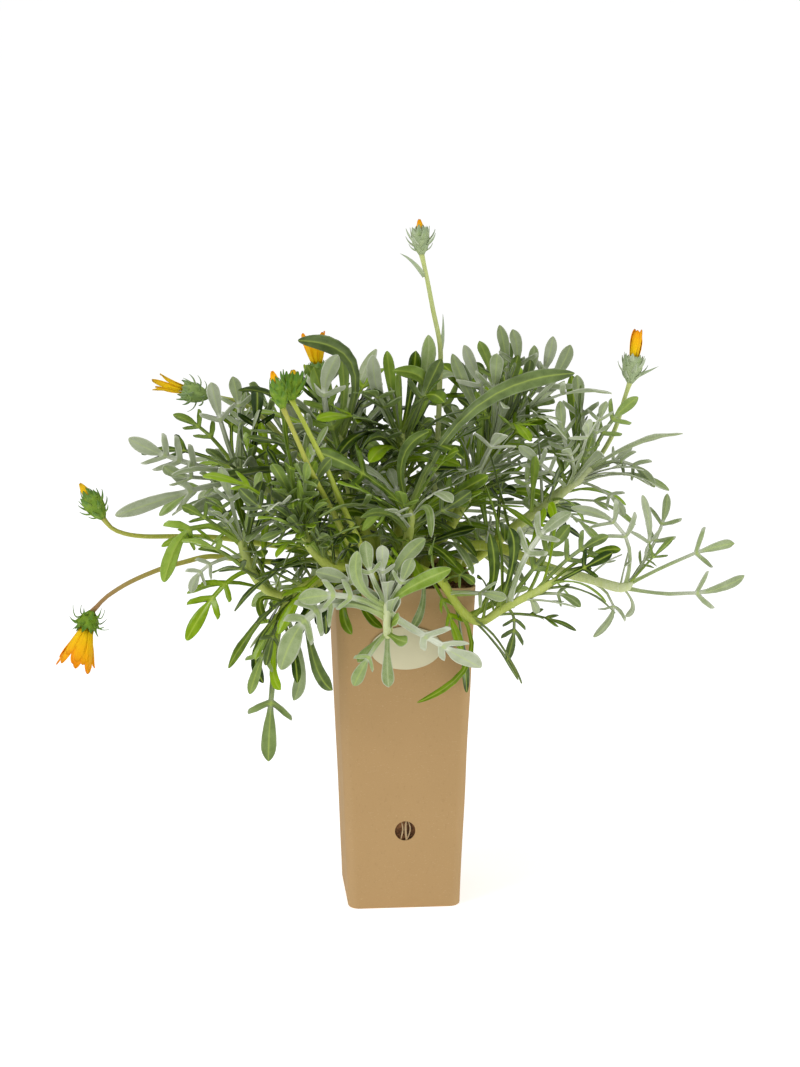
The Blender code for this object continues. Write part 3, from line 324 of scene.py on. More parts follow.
# Each flower: its hole in the soil, the way that its head points in the front view, its cup, its bracts,
# its petals and its stalk's route up to the head. A cup is (radius, height). Bracts are (count,
# length, flare in degrees). Petals are (count, length, half width, radius at the root and at the tips).
FLOWERS = {
    "flower_top": {
        "hole": (12, 22), "aim": (-2, 32, 0), "cup": (6.2, 14.5), "bracts": (8, 9.0, 38),
        "petals": (0, 8.0, 0, 2.4, 0.5), "colour": "orange",
        "route": [(21, 245, 22), (26, 308, 16), (28, 360, 10), (28, 381, 8), (23, 406, 5),
                  (19, 427, 2), (15, 445, 0)],
    },
    "flower_right": {
        "hole": (38, 28), "aim": (8, 50, 0), "cup": (7.0, 17.0), "bracts": (8, 8.0, 32),
        "petals": (7, 19.0, 2.7, 3.6, 4.6), "colour": "orange",
        "route": [(61, 241, 30), (103, 273, 24), (134, 297, 16), (145, 311, 12), (152, 326, 8),
                  (157, 343, 5), (161, 355, 3)],
    },
    "flower_hanging": {
        "hole": (-38, 6), "aim": (-9, -30, -4), "cup": (7.0, 11.0), "bracts": (9, 9.0, 105),
        "petals": (11, 29.0, 3.1, 4.4, 14.0), "colour": "orange",
        "route": [(-49, 231, 6), (-83, 229, 4), (-113, 231, 0), (-133, 233, -4), (-151, 229, -8),
                  (-168, 224, -12), (-189, 215, -16), (-205, 205, -18), (-212, 198, -18),
                  (-216, 194, -18)],
    },
    "flower_left_bud": {
        "hole": (-38, 28), "aim": (-20, 30, 0), "cup": (7.2, 17.0), "bracts": (8, 7.5, 40),
        "petals": (0, 10.5, 0, 3.0, 0.5), "colour": "yellow",
        "route": [(-49, 236, 38), (-91, 241, 34), (-126, 246, 24), (-154, 247, 14), (-179, 247, 6),
                  (-193, 249, 3), (-202, 253, 1), (-208, 260, 0)],
    },
    "flower_spent": {
        "hole": (-27, 36), "aim": (-30, 9, -4), "cup": (7.0, 17.0), "bracts": (9, 8.5, 62),
        "petals": (7, 24.0, 1.2, 3.6, 7.0), "colour": "yellow",
        "route": [(-39, 259, 56), (-77, 310, 52), (-105, 337, 40), (-125, 344, 28), (-135, 345, 22)],
    },
    "flower_bud_green": {
        "hole": (-20, -38), "aim": (2, 30, -2), "cup": (6.8, 14.0), "bracts": (11, 10.0, 24),
        "petals": (0, 4.5, 0, 2.4, 0.5), "colour": "yellow",
        "route": [(-23, 231, -50), (-32, 251, -66), (-40, 268, -76), (-52, 296, -80), (-58, 308, -80),
                  (-67, 326, -78), (-76, 343, -76)],
    },
    "flower_bud_orange": {
        "hole": (-20, -22), "aim": (-9, 30, -2), "cup": (5.0, 15.0), "bracts": (6, 6.0, 24),
        "petals": (0, 9.0, 0, 2.6, 0.5), "colour": "orange",
        "route": [(-35, 241, -50), (-47, 264, -70), (-64, 296, -92), (-70, 310, -93), (-82, 337, -92)],
    },
    "flower_back": {
        "hole": (-30, 28), "aim": (-4, 30, 0), "cup": (6.0, 14.0), "bracts": (8, 7.0, 30),
        "petals": (8, 22.0, 2.8, 3.6, 9.0), "colour": "orange",
        "route": [(-34, 241, 30), (-47, 287, 34), (-54, 322, 34), (-56, 353, 32)],
    },
}

# The share of each shoot's leaves that are silver felt, how many small leaves fill it, and how broad its
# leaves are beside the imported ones
SHOOT_LOOKS = {
    "shoot_front": (1.0, 12, 1.5),
    "shoot_front_right": (0.2, 14, 1.0),
    "shoot_far_right": (0.85, 6, 0.7),
    "shoot_right_upper": (0.85, 18, 0.95),
    "shoot_crown_right": (0.8, 18, 0.9),
    "shoot_centre_front": (0.2, 22, 1.15),
    "shoot_centre": (0.3, 28, 1.1),
    "shoot_crown_left": (0.32, 26, 1.1),
    "shoot_left_upper": (0.7, 24, 1.0),
    "shoot_left_low": (0.25, 18, 1.05),
    "shoot_left_hanging": (0.12, 8, 1.0),
    "shoot_front_left": (0.2, 18, 1.1),
    "shoot_back_left": (0.35, 18, 1.0),
    "shoot_back_right": (0.45, 18, 1.0),
    "shoot_back_low": (0.3, 16, 1.0),
}

# How bluish silver each flower's cup is, how reddish its stalk is near the head, and its narrow
# leaves as (root, middle, tip), each (across, up, depth) in the front view
FLOWER_LOOKS = {
    "flower_top": (0.7, 0.0, [((17, 429, 1), (9, 439, -2), (0, 445, -4)),
                               ((28, 376, 8), (30, 388, 7), (30, 403, 6))]),
    "flower_right": (0.7, 0.0, [((160, 357, 4), (170, 361, 2), (181, 366, -2))]),
    "flower_hanging": (0.1, 0.9, []),
    "flower_left_bud": (0.2, 0.3, []),
    "flower_spent": (0.45, 0.1, []),
    "flower_bud_green": (0.1, 0.0, []),
    "flower_bud_orange": (0.15, 0.3, []),
    "flower_back": (0.3, 0.3, []),
}

# The mass of leaves in the front view, as (across, up) round its edge. Places in it are tried for one
# more leaf at a depth, with a length, and a leaf's root may miss that length by so much.
MASS = [(-132, 320), (-112, 353), (-77, 366), (-42, 376), (0, 362), (38, 376), (77, 385), (112, 371),
        (138, 341), (155, 315), (140, 273), (112, 245), (91, 205), (49, 224), (0, 233), (-42, 210),
        (-88, 203), (-114, 231), (-137, 259), (-154, 294)]
MASS_TRIES = 900
MASS_DEPTH = (-62, 120)
MASS_LENGTH = (38, 88)
GREATEST_MISS = 22.0

# The part of the mass in front of the two buds' stalks, as ranges of (across, up, depth)
VEIL = ((-82, -22), (236, 302), (-112, -88))
VEIL_TRIES = 200

# A small leaf tries so many ways to lie, and so much of its length may stand in its stem
SMALL_TRIES = 14
FOOT_SHARE = 0.25
PAIRS_TO_DRAW = (0, 0, 1, 1, 2)

# How a shoot of ordinary leaves and one of broad leaves, a rosette, spread their small leaves: the share
# of the stem that they stand on, and how much wider than the crown they open, in degrees
ORDINARY_SPREAD = (0.85, 8)
ROSETTE_SPREAD = (0.3, -18)
ROSETTE_BREADTH = 1.2

# A petal's and a bract's outline, as shares of the length and of the half width
PETAL_SHARES = (0, 0.12, 0.3, 0.5, 0.68, 0.82, 0.92, 0.98, 1.0)
PETAL_WIDTHS = (0.45, 0.62, 0.85, 1.0, 0.98, 0.82, 0.56, 0.3, 0.06)
PETAL_ACROSS = (-1, -0.66, -0.33, 0, 0.33, 0.66, 1)
BRACT_SHARES = (0, 0.15, 0.35, 0.55, 0.75, 0.9, 1.0)
BRACT_WIDTHS = (0.9, 1.0, 0.88, 0.66, 0.42, 0.2, 0.03)
BRACT_ACROSS = (-1, -0.5, 0, 0.5, 1)

# The rings of bracts up a cup: (place up the cup, share of the full length, share of the full lean,
# half width, and whether every place in the ring has one)
BRACT_RINGS = ((0.24, 0.75, 1.2, 1.3, False), (0.46, 1.0, 1.1, 1.7, False), (0.68, 1.0, 0.8, 1.9, False),
               (0.88, 0.75, 0.25, 2.1, True))
BUD_SCALES = 6
BUD_PETALS = 9

# How the carton's walls are cut into levels and columns, how they bow, and their rounded foot
LEVELS = 18
LEVEL_STEP = 12
COLUMNS = 3
COLUMN_STEP = 10
BOW = 0.55
BOW_WIDTH = 55
BOW_INWARD = 0.15
FOOT_ROUND = 1.4
FOLD_WIDTH = 7
RIM_CUT = 0.35
LABEL_ROUND = 0.18

# The soil's inset from the carton's outer faces, the steps and the two kinds of waves of its top as
# (width, height), and how many of its crumbs lie behind the drain hole: one in so many
SOIL_INSET = BOARD + GAP
SOIL_STEPS = 56
SOIL_CORNER = 6.8
SOIL_ROUGH = (7, 1.6)
SOIL_SWELL = (22, 0.7)
DRAIN_CRUMB = 6

# The drain hole's roots, as (place across, lean, radius)
DRAIN_ROOTS = ((-2.2, 0.6, 0.5), (0.6, -0.3, 0.75), (2.6, 0.9, 0.45))

# The stage, in metres: the floor's radius, and each light's place and size
FLOOR_RADIUS = 120.0
SIGHT_END = 200.0
LIGHTS_AIM = (0, 0, 0.28)
KEY_PLACE = (-1.25, -0.8, 1.8)
KEY_SIZE = 1.0
FILL_PLACE = (1.5, -0.9, 1.0)
FILL_SIZE = 1.4
SENSOR = 36.0


def colour_setting(name, description, default):
    """A setting that holds a colour."""
    return FloatVectorProperty(name=name, description=description, default=default, subtype="COLOR")


class CartonLooks(PropertyGroup):
    """What a user would change on the carton, the label and the soil."""

    corner_radius: FloatProperty(name="Corner radius", description="Rounding of the folded edges",
                                 default=0.008, unit="LENGTH")
    drain_radius: FloatProperty(name="Drain hole radius", description="Radius of the hole in the front wall",
                                default=0.007, unit="LENGTH")
    drain_height: FloatProperty(name="Drain hole height", description="Height of the hole's middle",
                                default=0.056, unit="LENGTH")
    label_height: FloatProperty(name="Label height", description="Height of the label's middle",
                                default=0.186, unit="LENGTH")
    crumbs: IntProperty(name="Soil crumbs", description="Number of loose crumbs on the soil", default=420)
    kraft: colour_setting("Board", "Colour of the bare board", (0.445, 0.284, 0.126))
    kraft_dark: colour_setting("Board fibres", "Colour of the board's dark fibres", (0.22, 0.125, 0.05))
    paper: colour_setting("Label", "Colour of the label's paper", (0.60, 0.56, 0.365))
    earth: colour_setting("Soil", "Colour of the moist soil", (0.085, 0.038, 0.017))
    earth_dry: colour_setting("Dry soil", "Colour of the dry crumbs", (0.27, 0.125, 0.05))


class LeafLooks(PropertyGroup):
    """What a user would change on the leaves and stems."""

    thickness: FloatProperty(name="Blade", description="Thickness of a leaf's blade", default=0.0005,
                             unit="LENGTH", precision=5)
    fill: FloatProperty(name="Fill", description="Share of the small leaves between the large ones",
                        default=1.0, min=0, max=1, subtype="FACTOR")
    dark: colour_setting("Dark green", "Upper side of an old leaf", (0.017, 0.043, 0.0015))
    bright: colour_setting("Bright green", "Upper side of a young leaf", (0.26, 0.42, 0.004))
    silver: colour_setting("Silver", "Lower side, under its felt", (0.385, 0.435, 0.283))
    shade: colour_setting("Worn felt", "Where the green shows through the felt", (0.13, 0.19, 0.045))
    wool: colour_setting("Wool", "Thick white felt", (0.66, 0.69, 0.56))
    lime: colour_setting("Stem", "Fleshy stem", (0.46, 0.53, 0.06))


class FlowerLooks(PropertyGroup):
    """What a user would change on the flowers."""

    orange: colour_setting("Orange", "Petals of an open flower", (0.96, 0.36, 0.002))
    yellow: colour_setting("Yellow", "Petals towards the root", (0.96, 0.62, 0.004))
    rust: colour_setting("Rust", "Lines and tips of the petals", (0.62, 0.13, 0.004))
    cup: colour_setting("Cup", "Green of the cup and its bracts", (0.085, 0.20, 0.010))
    blush: colour_setting("Blush", "Tint of a stalk near its head", (0.30, 0.13, 0.065))


class StageLooks(PropertyGroup):
    """The floor and the lights."""

    floor: colour_setting("Floor", "Colour of the plain floor", (0.93, 0.93, 0.93))
    glow: FloatProperty(name="Floor glow", description="Strength of the light table under the object",
                        default=0.54)
    sky: FloatProperty(name="Sky", description="Strength of the even light from all round", default=0.5)
    key: FloatProperty(name="Key light", description="Power of the large soft light", default=19.0,
                       unit="POWER")
    fill: FloatProperty(name="Fill light", description="Power of the soft light from the other side",
                        default=9.0, unit="POWER")


class Term:
    """A socket in a Python expression. Each operator adds its Math node."""

    def __init__(self, skin, socket):
        self.skin = skin
        self.socket = socket

    def __add__(self, other):
        return self.skin.math("ADD", self, other)

    def __sub__(self, other):
        return self.skin.math("SUBTRACT", self, other)

    def __rsub__(self, other):
        return self.skin.math("SUBTRACT", other, self)

    def __mul__(self, other):
        return self.skin.math("MULTIPLY", self, other)

    def __truediv__(self, other):
        return self.skin.math("DIVIDE", self, other)

    def __pow__(self, other):
        return self.skin.math("POWER", self, other)

    __radd__ = __add__
    __rmul__ = __mul__

    def held(self):
        """The value kept between 0 and 1."""
        return self.skin.math("ADD", self, 0.0, use_clamp=True)

    def above(self, low, high):
        """0 below low, 1 above high, and a straight rise between."""
        return ((self - low) / (high - low)).held()


class Skin:
    """A material in the making: its Principled shader, and one method for every other node."""

    def __init__(self, name, constants):
        self.material = bpy.data.materials.new(name)
        self.material.use_nodes = True
        self.tree = self.material.node_tree
        self.shader = self.tree.nodes["Principled BSDF"]
        for socket, value in constants.items():
            self.shader.inputs[socket].default_value = value
        self.place = Term(self, self.node("TexCoord").outputs["Object"])

    def node(self, kind, settings=None, inputs=None):
        """Adds a node of a type, with its settings and the values or links of its sockets."""
        made = self.tree.nodes.new("ShaderNode" + kind)
        for name, value in (settings or {}).items():
            setattr(made, name, value)
        for key, value in (inputs or {}).items():
            if isinstance(value, Term):
                self.tree.links.new(value.socket, made.inputs[key])
            else:
                made.inputs[key].default_value = value
        return made

    def math(self, operation, first, second, **settings):
        """The Math node of one operator."""
        node = self.node("Math", {"operation": operation, **settings}, {0: first, 1: second})
        return Term(self, node.outputs[0])

    def attribute(self, name):
        """A value that the piece's own mesh carries."""
        return Term(self, self.node("Attribute", {"attribute_name": name}).outputs["Fac"])

    def noise(self, scale, detail=3.0, roughness=0.55, stretch=None):
        """Noise in the object's own space, 0 to 1, finer with a larger scale."""
        where = self.place
        if stretch:
            mapped = self.node("Mapping", inputs={"Vector": where, "Scale": stretch})
            where = Term(self, mapped.outputs[0])
        made = self.node("TexNoise", inputs={"Vector": where, "Scale": scale, "Detail": detail,
                                             "Roughness": roughness})
        return Term(self, made.outputs[0])

    def along_noise(self, value, scale, detail=2.0):
        """Noise along one value."""
        made = self.node("TexNoise", {"noise_dimensions": "1D"},
                         {"W": value, "Scale": scale, "Detail": detail})
        return Term(self, made.outputs[0])

    def grains(self, scale):
        """Distance from the middle of the nearest grain, 0 to about 1."""
        made = self.node("TexVoronoi", inputs={"Vector": self.place, "Scale": scale})
        return Term(self, made.outputs[0])

    def mix(self, share, first, second):
        """Two colours mixed by a share."""
        ends = [end if isinstance(end, Term) else (*end, 1.0) for end in (first, second)]
        made = self.node("Mix", {"data_type": "RGBA"}, {0: share, 6: ends[0], 7: ends[1]})
        return Term(self, made.outputs[2])

    def finish(self, colour, roughness, relief, distance):
        """Links the colour, the roughness and a relief given in metres, and returns the material."""
        self.tree.links.new(colour.socket, self.shader.inputs["Base Color"])
        self.tree.links.new(roughness.socket, self.shader.inputs["Roughness"])
        bump = self.node("Bump", inputs={"Height": relief, "Distance": distance, "Strength": 1.0})
        self.tree.links.new(bump.outputs[0], self.shader.inputs["Normal"])
        return self.material


def kraft_skin(looks):
    """Matt brown board: soft clouds, short dark and pale fibres, and paler folds."""
    skin = Skin("kraft_board", {"Specular IOR Level": 0.25})
    cloud = skin.noise(26, 3)
    fibre = skin.noise(520, 4, 0.7, (1.0, 1.0, 0.6))
    fleck = skin.noise(1100, 2, 0.6, (0.5, 0.5, 1.6))
    colour = skin.mix(cloud.above(0.25, 0.75) * 0.16, looks.kraft, [0.8 * c for c in looks.kraft])
    colour = skin.mix(fibre.above(0.58, 0.74) * 0.22, colour, looks.kraft_dark)
    colour = skin.mix(fleck.above(0.64, 0.74) * 0.3, colour, BOARD_FLECK)
    colour = skin.mix(skin.attribute("fold") * 0.18, colour, BOARD_FOLD)
    colour = skin.mix(skin.attribute("cut"), colour, BOARD_CUT)
    return skin.finish(colour, cloud * 0.1 + 0.78, fibre * 0.6 + fleck * 0.4 + cloud * 2.0, 0.00012)


def paper_skin(looks):
    """Smooth cream paper, a little yellowed."""
    skin = Skin("label_paper", {"Specular IOR Level": 0.4})
    cloud = skin.noise(60, 2)
    fibre = skin.noise(1300, 3)
    colour = skin.mix(cloud.above(0.3, 0.7) * 0.25, looks.paper, [0.86 * c for c in looks.paper])
    colour = skin.mix(fibre.above(0.6, 0.75) * 0.2, colour, PAPER_FIBRE)
    return skin.finish(colour, cloud * 0.1 + 0.5, fibre, 0.00003)


def soil_skin(looks):
    """Dark crumbly peat with dry rust-brown crumbs."""
    skin = Skin("potting_soil", {"Specular IOR Level": 0.2})
    lump = skin.noise(160, 4, 0.65)
    grain = skin.grains(520)
    colour = skin.mix(lump.above(0.42, 0.66), looks.earth, looks.earth_dry)
    colour = skin.mix(skin.noise(900, 2).above(0.66, 0.72) * 0.6, colour, SOIL_CHIP)
    return skin.finish(colour, lump * 0.1 + 0.88, lump + grain * 0.5, 0.0008)


def root_skin():
    """Pale dry root."""
    skin = Skin("pale_root", {})
    cloud = skin.noise(400, 3)
    colour = skin.mix(cloud, ROOT_PALE, ROOT_DARK)
    return skin.finish(colour, cloud * 0.1 + 0.75, cloud, 0.0001)


def leaf_skin(looks):
    """Green satin upper side, silver felt below, a pale rib, white flecks, and whiter margins: partly their
    rolled felt and partly a painted highlight along the leaf's edge.
    """
    skin = Skin("gazania_leaf", {"Specular IOR Level": 0.1, "Coat Roughness": 0.2})
    under = skin.attribute("under")
    felt = skin.attribute("felt")
    rib = skin.attribute("rib") ** 2.2
    rim = skin.attribute("rim")
    blotch = skin.noise(110, 3)
    fuzz = skin.noise(1500, 3, 0.7)
    age = (skin.attribute("tone") + (blotch - 0.5) * 0.9).held()
    green = skin.mix(age, looks.dark, looks.bright)
    green = skin.mix(rib * 0.8, green, LEAF_RIB)
    worn = fuzz.above(0.3, 0.7) * 0.4 + blotch.above(0.35, 0.65) * 0.4 + felt * 0.45 + under * 0.2 - 0.12
    silver = skin.mix((worn * (0.45 + skin.attribute("tone") * 0.6)).held(), looks.shade, looks.silver)
    # Whiter towards the rib and the margins: the pale rib is real, and at the margins this is partly rolled
    # felt and partly a painted highlight along the leaf's edge.
    white = (rim * 0.6 + rib * 0.4) * (felt * 0.8 + 0.2) + (felt - 0.75).above(0.0, 0.25) * 0.25
    silver = skin.mix(white.held(), silver, looks.wool)
    patchy = (fuzz - 0.5) * 0.9 + (blotch - 0.5) * 0.7
    upper = felt * 1.25 - 0.38 + patchy * felt
    wool = under * (0.2 + felt * 0.88) * (1 - rib * 0.5) + (1 - under) * upper
    # More felt colour at the margins: partly rolled felt and partly a painted highlight along the leaf's
    # edge.
    wool = (wool + rim * (0.12 + felt * 0.35)).held()
    colour = skin.mix(wool, green, silver)
    gloss = (1 - wool) * (blotch.above(0.3, 0.6) * 0.35 + 0.1)
    skin.tree.links.new(gloss.socket, skin.shader.inputs["Coat Weight"])
    return skin.finish(colour, wool * 0.5 + 0.28, fuzz * (wool * 0.8 + 0.15) + blotch * 1.2, 0.00016)


def stem_skin(name, looks, blush):
    """Fleshy lime stem, with felt towards its tip or a reddish tint towards a head."""
    skin = Skin(name, {"Specular IOR Level": 0.3})
    felt = skin.attribute("felt")
    cloud = skin.noise(120, 3)
    line = skin.noise(900, 2, 0.5, (1.0, 1.0, 0.12))
    colour = skin.mix(cloud.above(0.3, 0.75) * 0.5, looks.lime, STEM_SHADE)
    colour = skin.mix(line.above(0.55, 0.7) * 0.3, colour, STEM_LINE)
    colour = skin.mix((felt * 0.6 + (line - 0.5) * 0.7 * felt).held(), colour, looks.wool)
    colour = skin.mix(skin.attribute("blush"), colour, blush)
    return skin.finish(colour, felt * 0.35 + 0.42, line + cloud * 0.8, 0.00018)


def cup_skin(name, looks, wool):
    """Ridged green cup and bracts with a silver bloom, darker at the bracts' tips."""
    skin = Skin(name, {"Specular IOR Level": 0.12})
    felt = skin.attribute("felt")
    tip = skin.attribute("along")
    cloud = skin.noise(260, 3)
    fuzz = skin.noise(1700, 3)
    pale = (cloud.above(0.3, 0.75) * 0.6 + (0.3 - tip) * 0.9).held()
    colour = skin.mix(pale, looks.cup, CUP_PALE)
    bloom = (felt * felt * (0.85 + (fuzz - 0.5) * 0.5) + skin.attribute("rim") * felt * 0.3).held()
    colour = skin.mix(bloom, colour, wool)
    colour = skin.mix(tip.above(0.8, 1.0) * 0.4, colour, CUP_TIP)
    return skin.finish(colour, bloom * 0.3 + 0.5, fuzz * 0.5 + cloud, 0.0002)


def petal_skin(name, looks, fade):
    """Petals yellow at the root, orange further out, with rust lines and tips."""
    skin = Skin(name, {"Specular IOR Level": 0.12})
    out = skin.attribute("along")
    across = skin.attribute("across")
    tone = skin.attribute("tone")
    line = skin.along_noise(across * 2.2 + tone * 30.0, 3.0)
    cloud = skin.noise(300, 3)
    orange = (out * 1.15 - 0.12 + (cloud - 0.5) * 0.5 + (line - 0.5) * 0.7).held()
    colour = skin.mix(orange * (1 - fade), looks.yellow, looks.orange)
    edge = (skin.attribute("rim") * 0.3 + out.above(0.8, 1.0) * 0.35) * line.above(0.4, 0.62)
    colour = skin.mix((edge * (1 - 0.6 * fade)).held(), colour, looks.rust)
    if fade:
        colour = skin.mix(out.above(0.5, 1.0) * fade * 0.6 + cloud * 0.1, colour, PETAL_FADED)
    return skin.finish(colour, cloud * 0.15 + 0.42, line * 1.5 + cloud * 0.3, 0.0002)


def front_axes():
    """The front view's unit vectors: to the right, up the view, and back towards the eye."""
    right = Vector((math.cos(VIEW_TURN), math.sin(VIEW_TURN), 0))
    back = Vector((math.sin(VIEW_TURN) * math.cos(VIEW_TILT),
                   -math.cos(VIEW_TURN) * math.cos(VIEW_TILT),
                   math.sin(VIEW_TILT)))
    return right, back.cross(right), back


def eye_point():
    """Where the camera stands, in millimetres."""
    _, rise, back = front_axes()
    return rise * EYE_RISE + back * EYE_DISTANCE


def seen(across, up, depth):
    """The point at y = depth that the front view shows at (across, up) from the foot's centre."""
    right, rise, _ = front_axes()
    eye = eye_point()
    ray = right * across + rise * up - eye
    return eye + ray * ((depth - eye.y) / ray.y)


def half_at(height):
    """Half the carton's outer width at a height."""
    return FOOT_HALF + (RIM_HALF - FOOT_HALF) * height / CARTON_HEIGHT


def soil_top():
    """The height of the soil's flat edge."""
    return CARTON_HEIGHT - SOIL_BELOW_RIM


def smooth_route(points, step):
    """Points about every step along a Catmull-Rom curve through the given ones."""
    padded = [2 * points[0] - points[1], *points, 2 * points[-1] - points[-2]]
    route = [points[0].copy()]
    for a, b, c, d in zip(padded, padded[1:], padded[2:], padded[3:]):
        pieces = max(1, round((c - b).length / step))
        for i in range(1, pieces + 1):
            t = i / pieces
            route.append(0.5 * (2 * b + (c - a) * t + (2 * a - 5 * b + 4 * c - d) * t ** 2
                                + (3 * b - a - 3 * c + d) * t ** 3))
    return route


def along(route, share):
    """The point and the direction at a share of the part of a stem's route that is out of the soil."""
    clear = soil_top() + SOIL_RISE + 1
    first = next(i for i, point in enumerate(route) if point.z > clear)
    place = first + share * (len(route) - 1 - first)
    i = min(int(place), len(route) - 2)
    point = route[i].lerp(route[i + 1], place - i)
    return point, (route[i + 1] - route[i]).normalized()


def stand(hole, points):
    """A stem's whole route: up out of its hole and on through its points in the front view."""
    foot = soil_top() - HOLE_DEPTH + HOLE_FLOOR
    x, y = hole
    surface = soil_top() + SOIL_RISE
    rise = [Vector((x, y, foot)), Vector((x, y, surface)), Vector((x, y, surface + UPRIGHT))]
    return rise + [seen(*point) for point in points]


class Spine:
    """A leaf's curved midrib: its points, and the way that its width and its upper side lie."""

    def __init__(self, root, via, tip, facing, twist):
        self.root = root
        self.bend = 2 * via - (root + tip) / 2
        self.tip = tip
        self.chord = (tip - root).normalized()
        flat = facing - self.chord * facing.dot(self.chord)
        self.facing = flat.normalized() if flat.length > 0.05 else self.chord.orthogonal()
        self.twist = twist
        self.length = (via - root).length + (tip - via).length

    def frame(self, share):
        """The midrib's point, its side vector and its upper normal at a share of the length."""
        t = min(share, 1)
        point = (1 - t) ** 2 * self.root + 2 * t * (1 - t) * self.bend + t ** 2 * self.tip
        ahead = ((1 - t) * (self.bend - self.root) + t * (self.tip - self.bend)).normalized()
        point += ahead * self.length * (share - t)
        facing = Matrix.Rotation(self.twist * (t - 0.3), 3, self.chord) @ self.facing
        side = ahead.cross(facing).normalized()
        return point, side, side.cross(ahead)


class Packed:
    """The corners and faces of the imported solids, in millimetres."""

    def __init__(self):
        self.corners = {}
        self.faces = {}
        for name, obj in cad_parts.items():
            points = [vert.co / MM for vert in obj.data.vertices]
            tree = KDTree(len(points))
            for i, point in enumerate(points):
                tree.insert(point, i)
            tree.balance()
            self.corners[name] = tree
            self.faces[name] = BVHTree.FromPolygons(points, [face.vertices[:] for face in obj.data.polygons])
        self.fill = []

    def lay(self, node, choose, pairs):
        """Of the ways that a leaf could lie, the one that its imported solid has, or None."""
        size = leaf_size(choose(0).length)
        best = None
        for attempt in range(TRIES):
            spine = choose(attempt)
            offs = []
            for share, half in PACKED_TIPS[min(pairs, 1)]:
                middle, side, upper = spine.frame(share)
                for offset in (-half * size, half * size):
                    rise = abs(offset) * LEAF_CUP - LEAF_THICKNESS / 2
                    corner = middle + side * offset + upper * rise
                    offs.append(self.corners[node].find(corner)[2])
            miss = sum(sorted(offs)[:3])
            if best is None or miss < best[0]:
                best = (miss, spine)
        return (best[1], pairs, size) if best[0] < NEAR_ENOUGH else None

    def free(self, node, bm):
        """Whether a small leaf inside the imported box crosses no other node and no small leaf."""
        low, high = [corner / MM for corner in CAD_BOX]
        for vert in bm.verts:
            if any(not low[i] + BOX_MARGIN < vert.co[i] < high[i] - BOX_MARGIN for i in range(3)):
                return False
        tree = BVHTree.FromBMesh(bm)
        if any(tree.overlap(other) for name, other in self.faces.items() if name != node):
            return False
        if any(tree.overlap(other) for other in self.fill):
            return False
        self.fill.append(tree)
        return True


def leaf_size(length):
    """How big a leaf's blade and lobes are beside the full-grown ones."""
    return min(1.0, max(LEAST_SIZE, length / GROWN_LENGTH))


def arm_at(turn):
    """The level unit vector at an angle."""
    return Vector((math.cos(turn), math.sin(turn), 0))


def shown_leaf(route, leaf, draw):
    """The ways that a leaf given in the front view can lie: nearer or further, with the same look."""
    share, via, tip, depth, _, face = leaf
    root, ahead = along(route, share)
    root -= ahead * ROOT_SUNK
    roll = draw.uniform(-0.45, 0.45)
    twist = draw.uniform(-0.5, 0.5)
    back = front_axes()[2]

    def choose(attempt):
        shift = ((attempt + 1) // 2) * 4.0 * (1 if attempt % 2 else -1)
        reach = seen(*tip, depth + shift)
        middle = seen(*via, (root.y + depth + shift) / 2 + shift * 0.3)
        facing = Matrix.Rotation(roll, 3, (reach - root).normalized()) @ (back * face + UP * 0.35)
        return Spine(root, middle, reach, facing, twist)

    return choose


def crown_leaf(route, crown, number, draw, share=None):
    """The ways that a leaf of a shoot's crown can lie: round the stem by the golden turn."""
    count, length, spread = crown
    if share is None:
        share = 1 - 0.55 * (number / count) ** 0.8
    root, ahead = along(route, share)
    root -= ahead * ROOT_SUNK
    ahead = (ahead + UP * 0.5).normalized()
    reach = length * draw.uniform(0.75, 1.15)
    open_angle = math.radians(spread * draw.uniform(0.6, 1.15) + 25 * (1 - share))
    start = draw.uniform(0, math.tau)
    twist = draw.uniform(-0.5, 0.5)
    droop = draw.uniform(0.05, 0.3)

    def choose(attempt):
        turn = number * GOLDEN_TURN + start + attempt * 0.61
        arm = Matrix.Rotation(turn, 3, ahead) @ ahead.orthogonal().normalized()
        heading = ahead * math.cos(open_angle) + arm * math.sin(open_angle)
        far = reach * (1 - 0.012 * attempt)
        tip = root + heading * far - UP * droop * far
        middle = root + heading * far * 0.52 + UP * droop * far * 0.12
        facing = ahead * math.sin(open_angle) - arm * math.cos(open_angle) + UP * 0.2
        return Spine(root, middle, tip, facing, twist)

    return choose


# What the materials read from a mesh
VALUES = ("under", "rib", "rim", "tone", "felt", "along", "across", "blush", "fold", "cut")


def new_mesh():
    """An empty bmesh in millimetres, with the values that the materials read."""
    bm = bmesh.new()
    for name in VALUES:
        bm.verts.layers.float.new(name)
    bm.verts.layers.float_vector.new("thickness")
    return bm


def tell(bm, verts, **values):
    """Gives vertices their values."""
    for name, value in values.items():
        layer = bm.verts.layers.float[name]
        for vert in verts:
            vert[layer] = value


def new_object(name, data):
    """Adds an object to the scene."""
    made = bpy.data.objects.new(name, data)
    bpy.context.scene.collection.objects.link(made)
    return made


def mesh_object(bm, name):
    """Writes a bmesh as an object of the scene."""
    mesh = bpy.data.meshes.new(name)
    bm.to_mesh(mesh)
    bm.free()
    return new_object(name, mesh)


def piece(bm, name, skins, slot, *nodes):
    """Writes a bmesh as a finished piece that rides on the root body."""
    bm.verts.layers.float_vector.remove(bm.verts.layers.float_vector["thickness"])
    bmesh.ops.scale(bm, vec=(MM, MM, MM), verts=bm.verts)
    made = mesh_object(bm, name)
    for skin in skins:
        made.data.materials.append(skin)
    made.data.shade_smooth()
    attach(made, "root")
    if nodes:
        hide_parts(*nodes)
    return made


def round_edges(bm, edges, offset, segments):
    """Rounds the edges of a body."""
    bmesh.ops.bevel(bm, geom=edges, offset=offset, offset_type="OFFSET", segments=segments, profile=0.5,
                    material=-1, affect="EDGES")


def faces_of(verts):
    """The faces that touch any of the vertices."""
    return list({face for vert in verts for face in vert.link_faces})


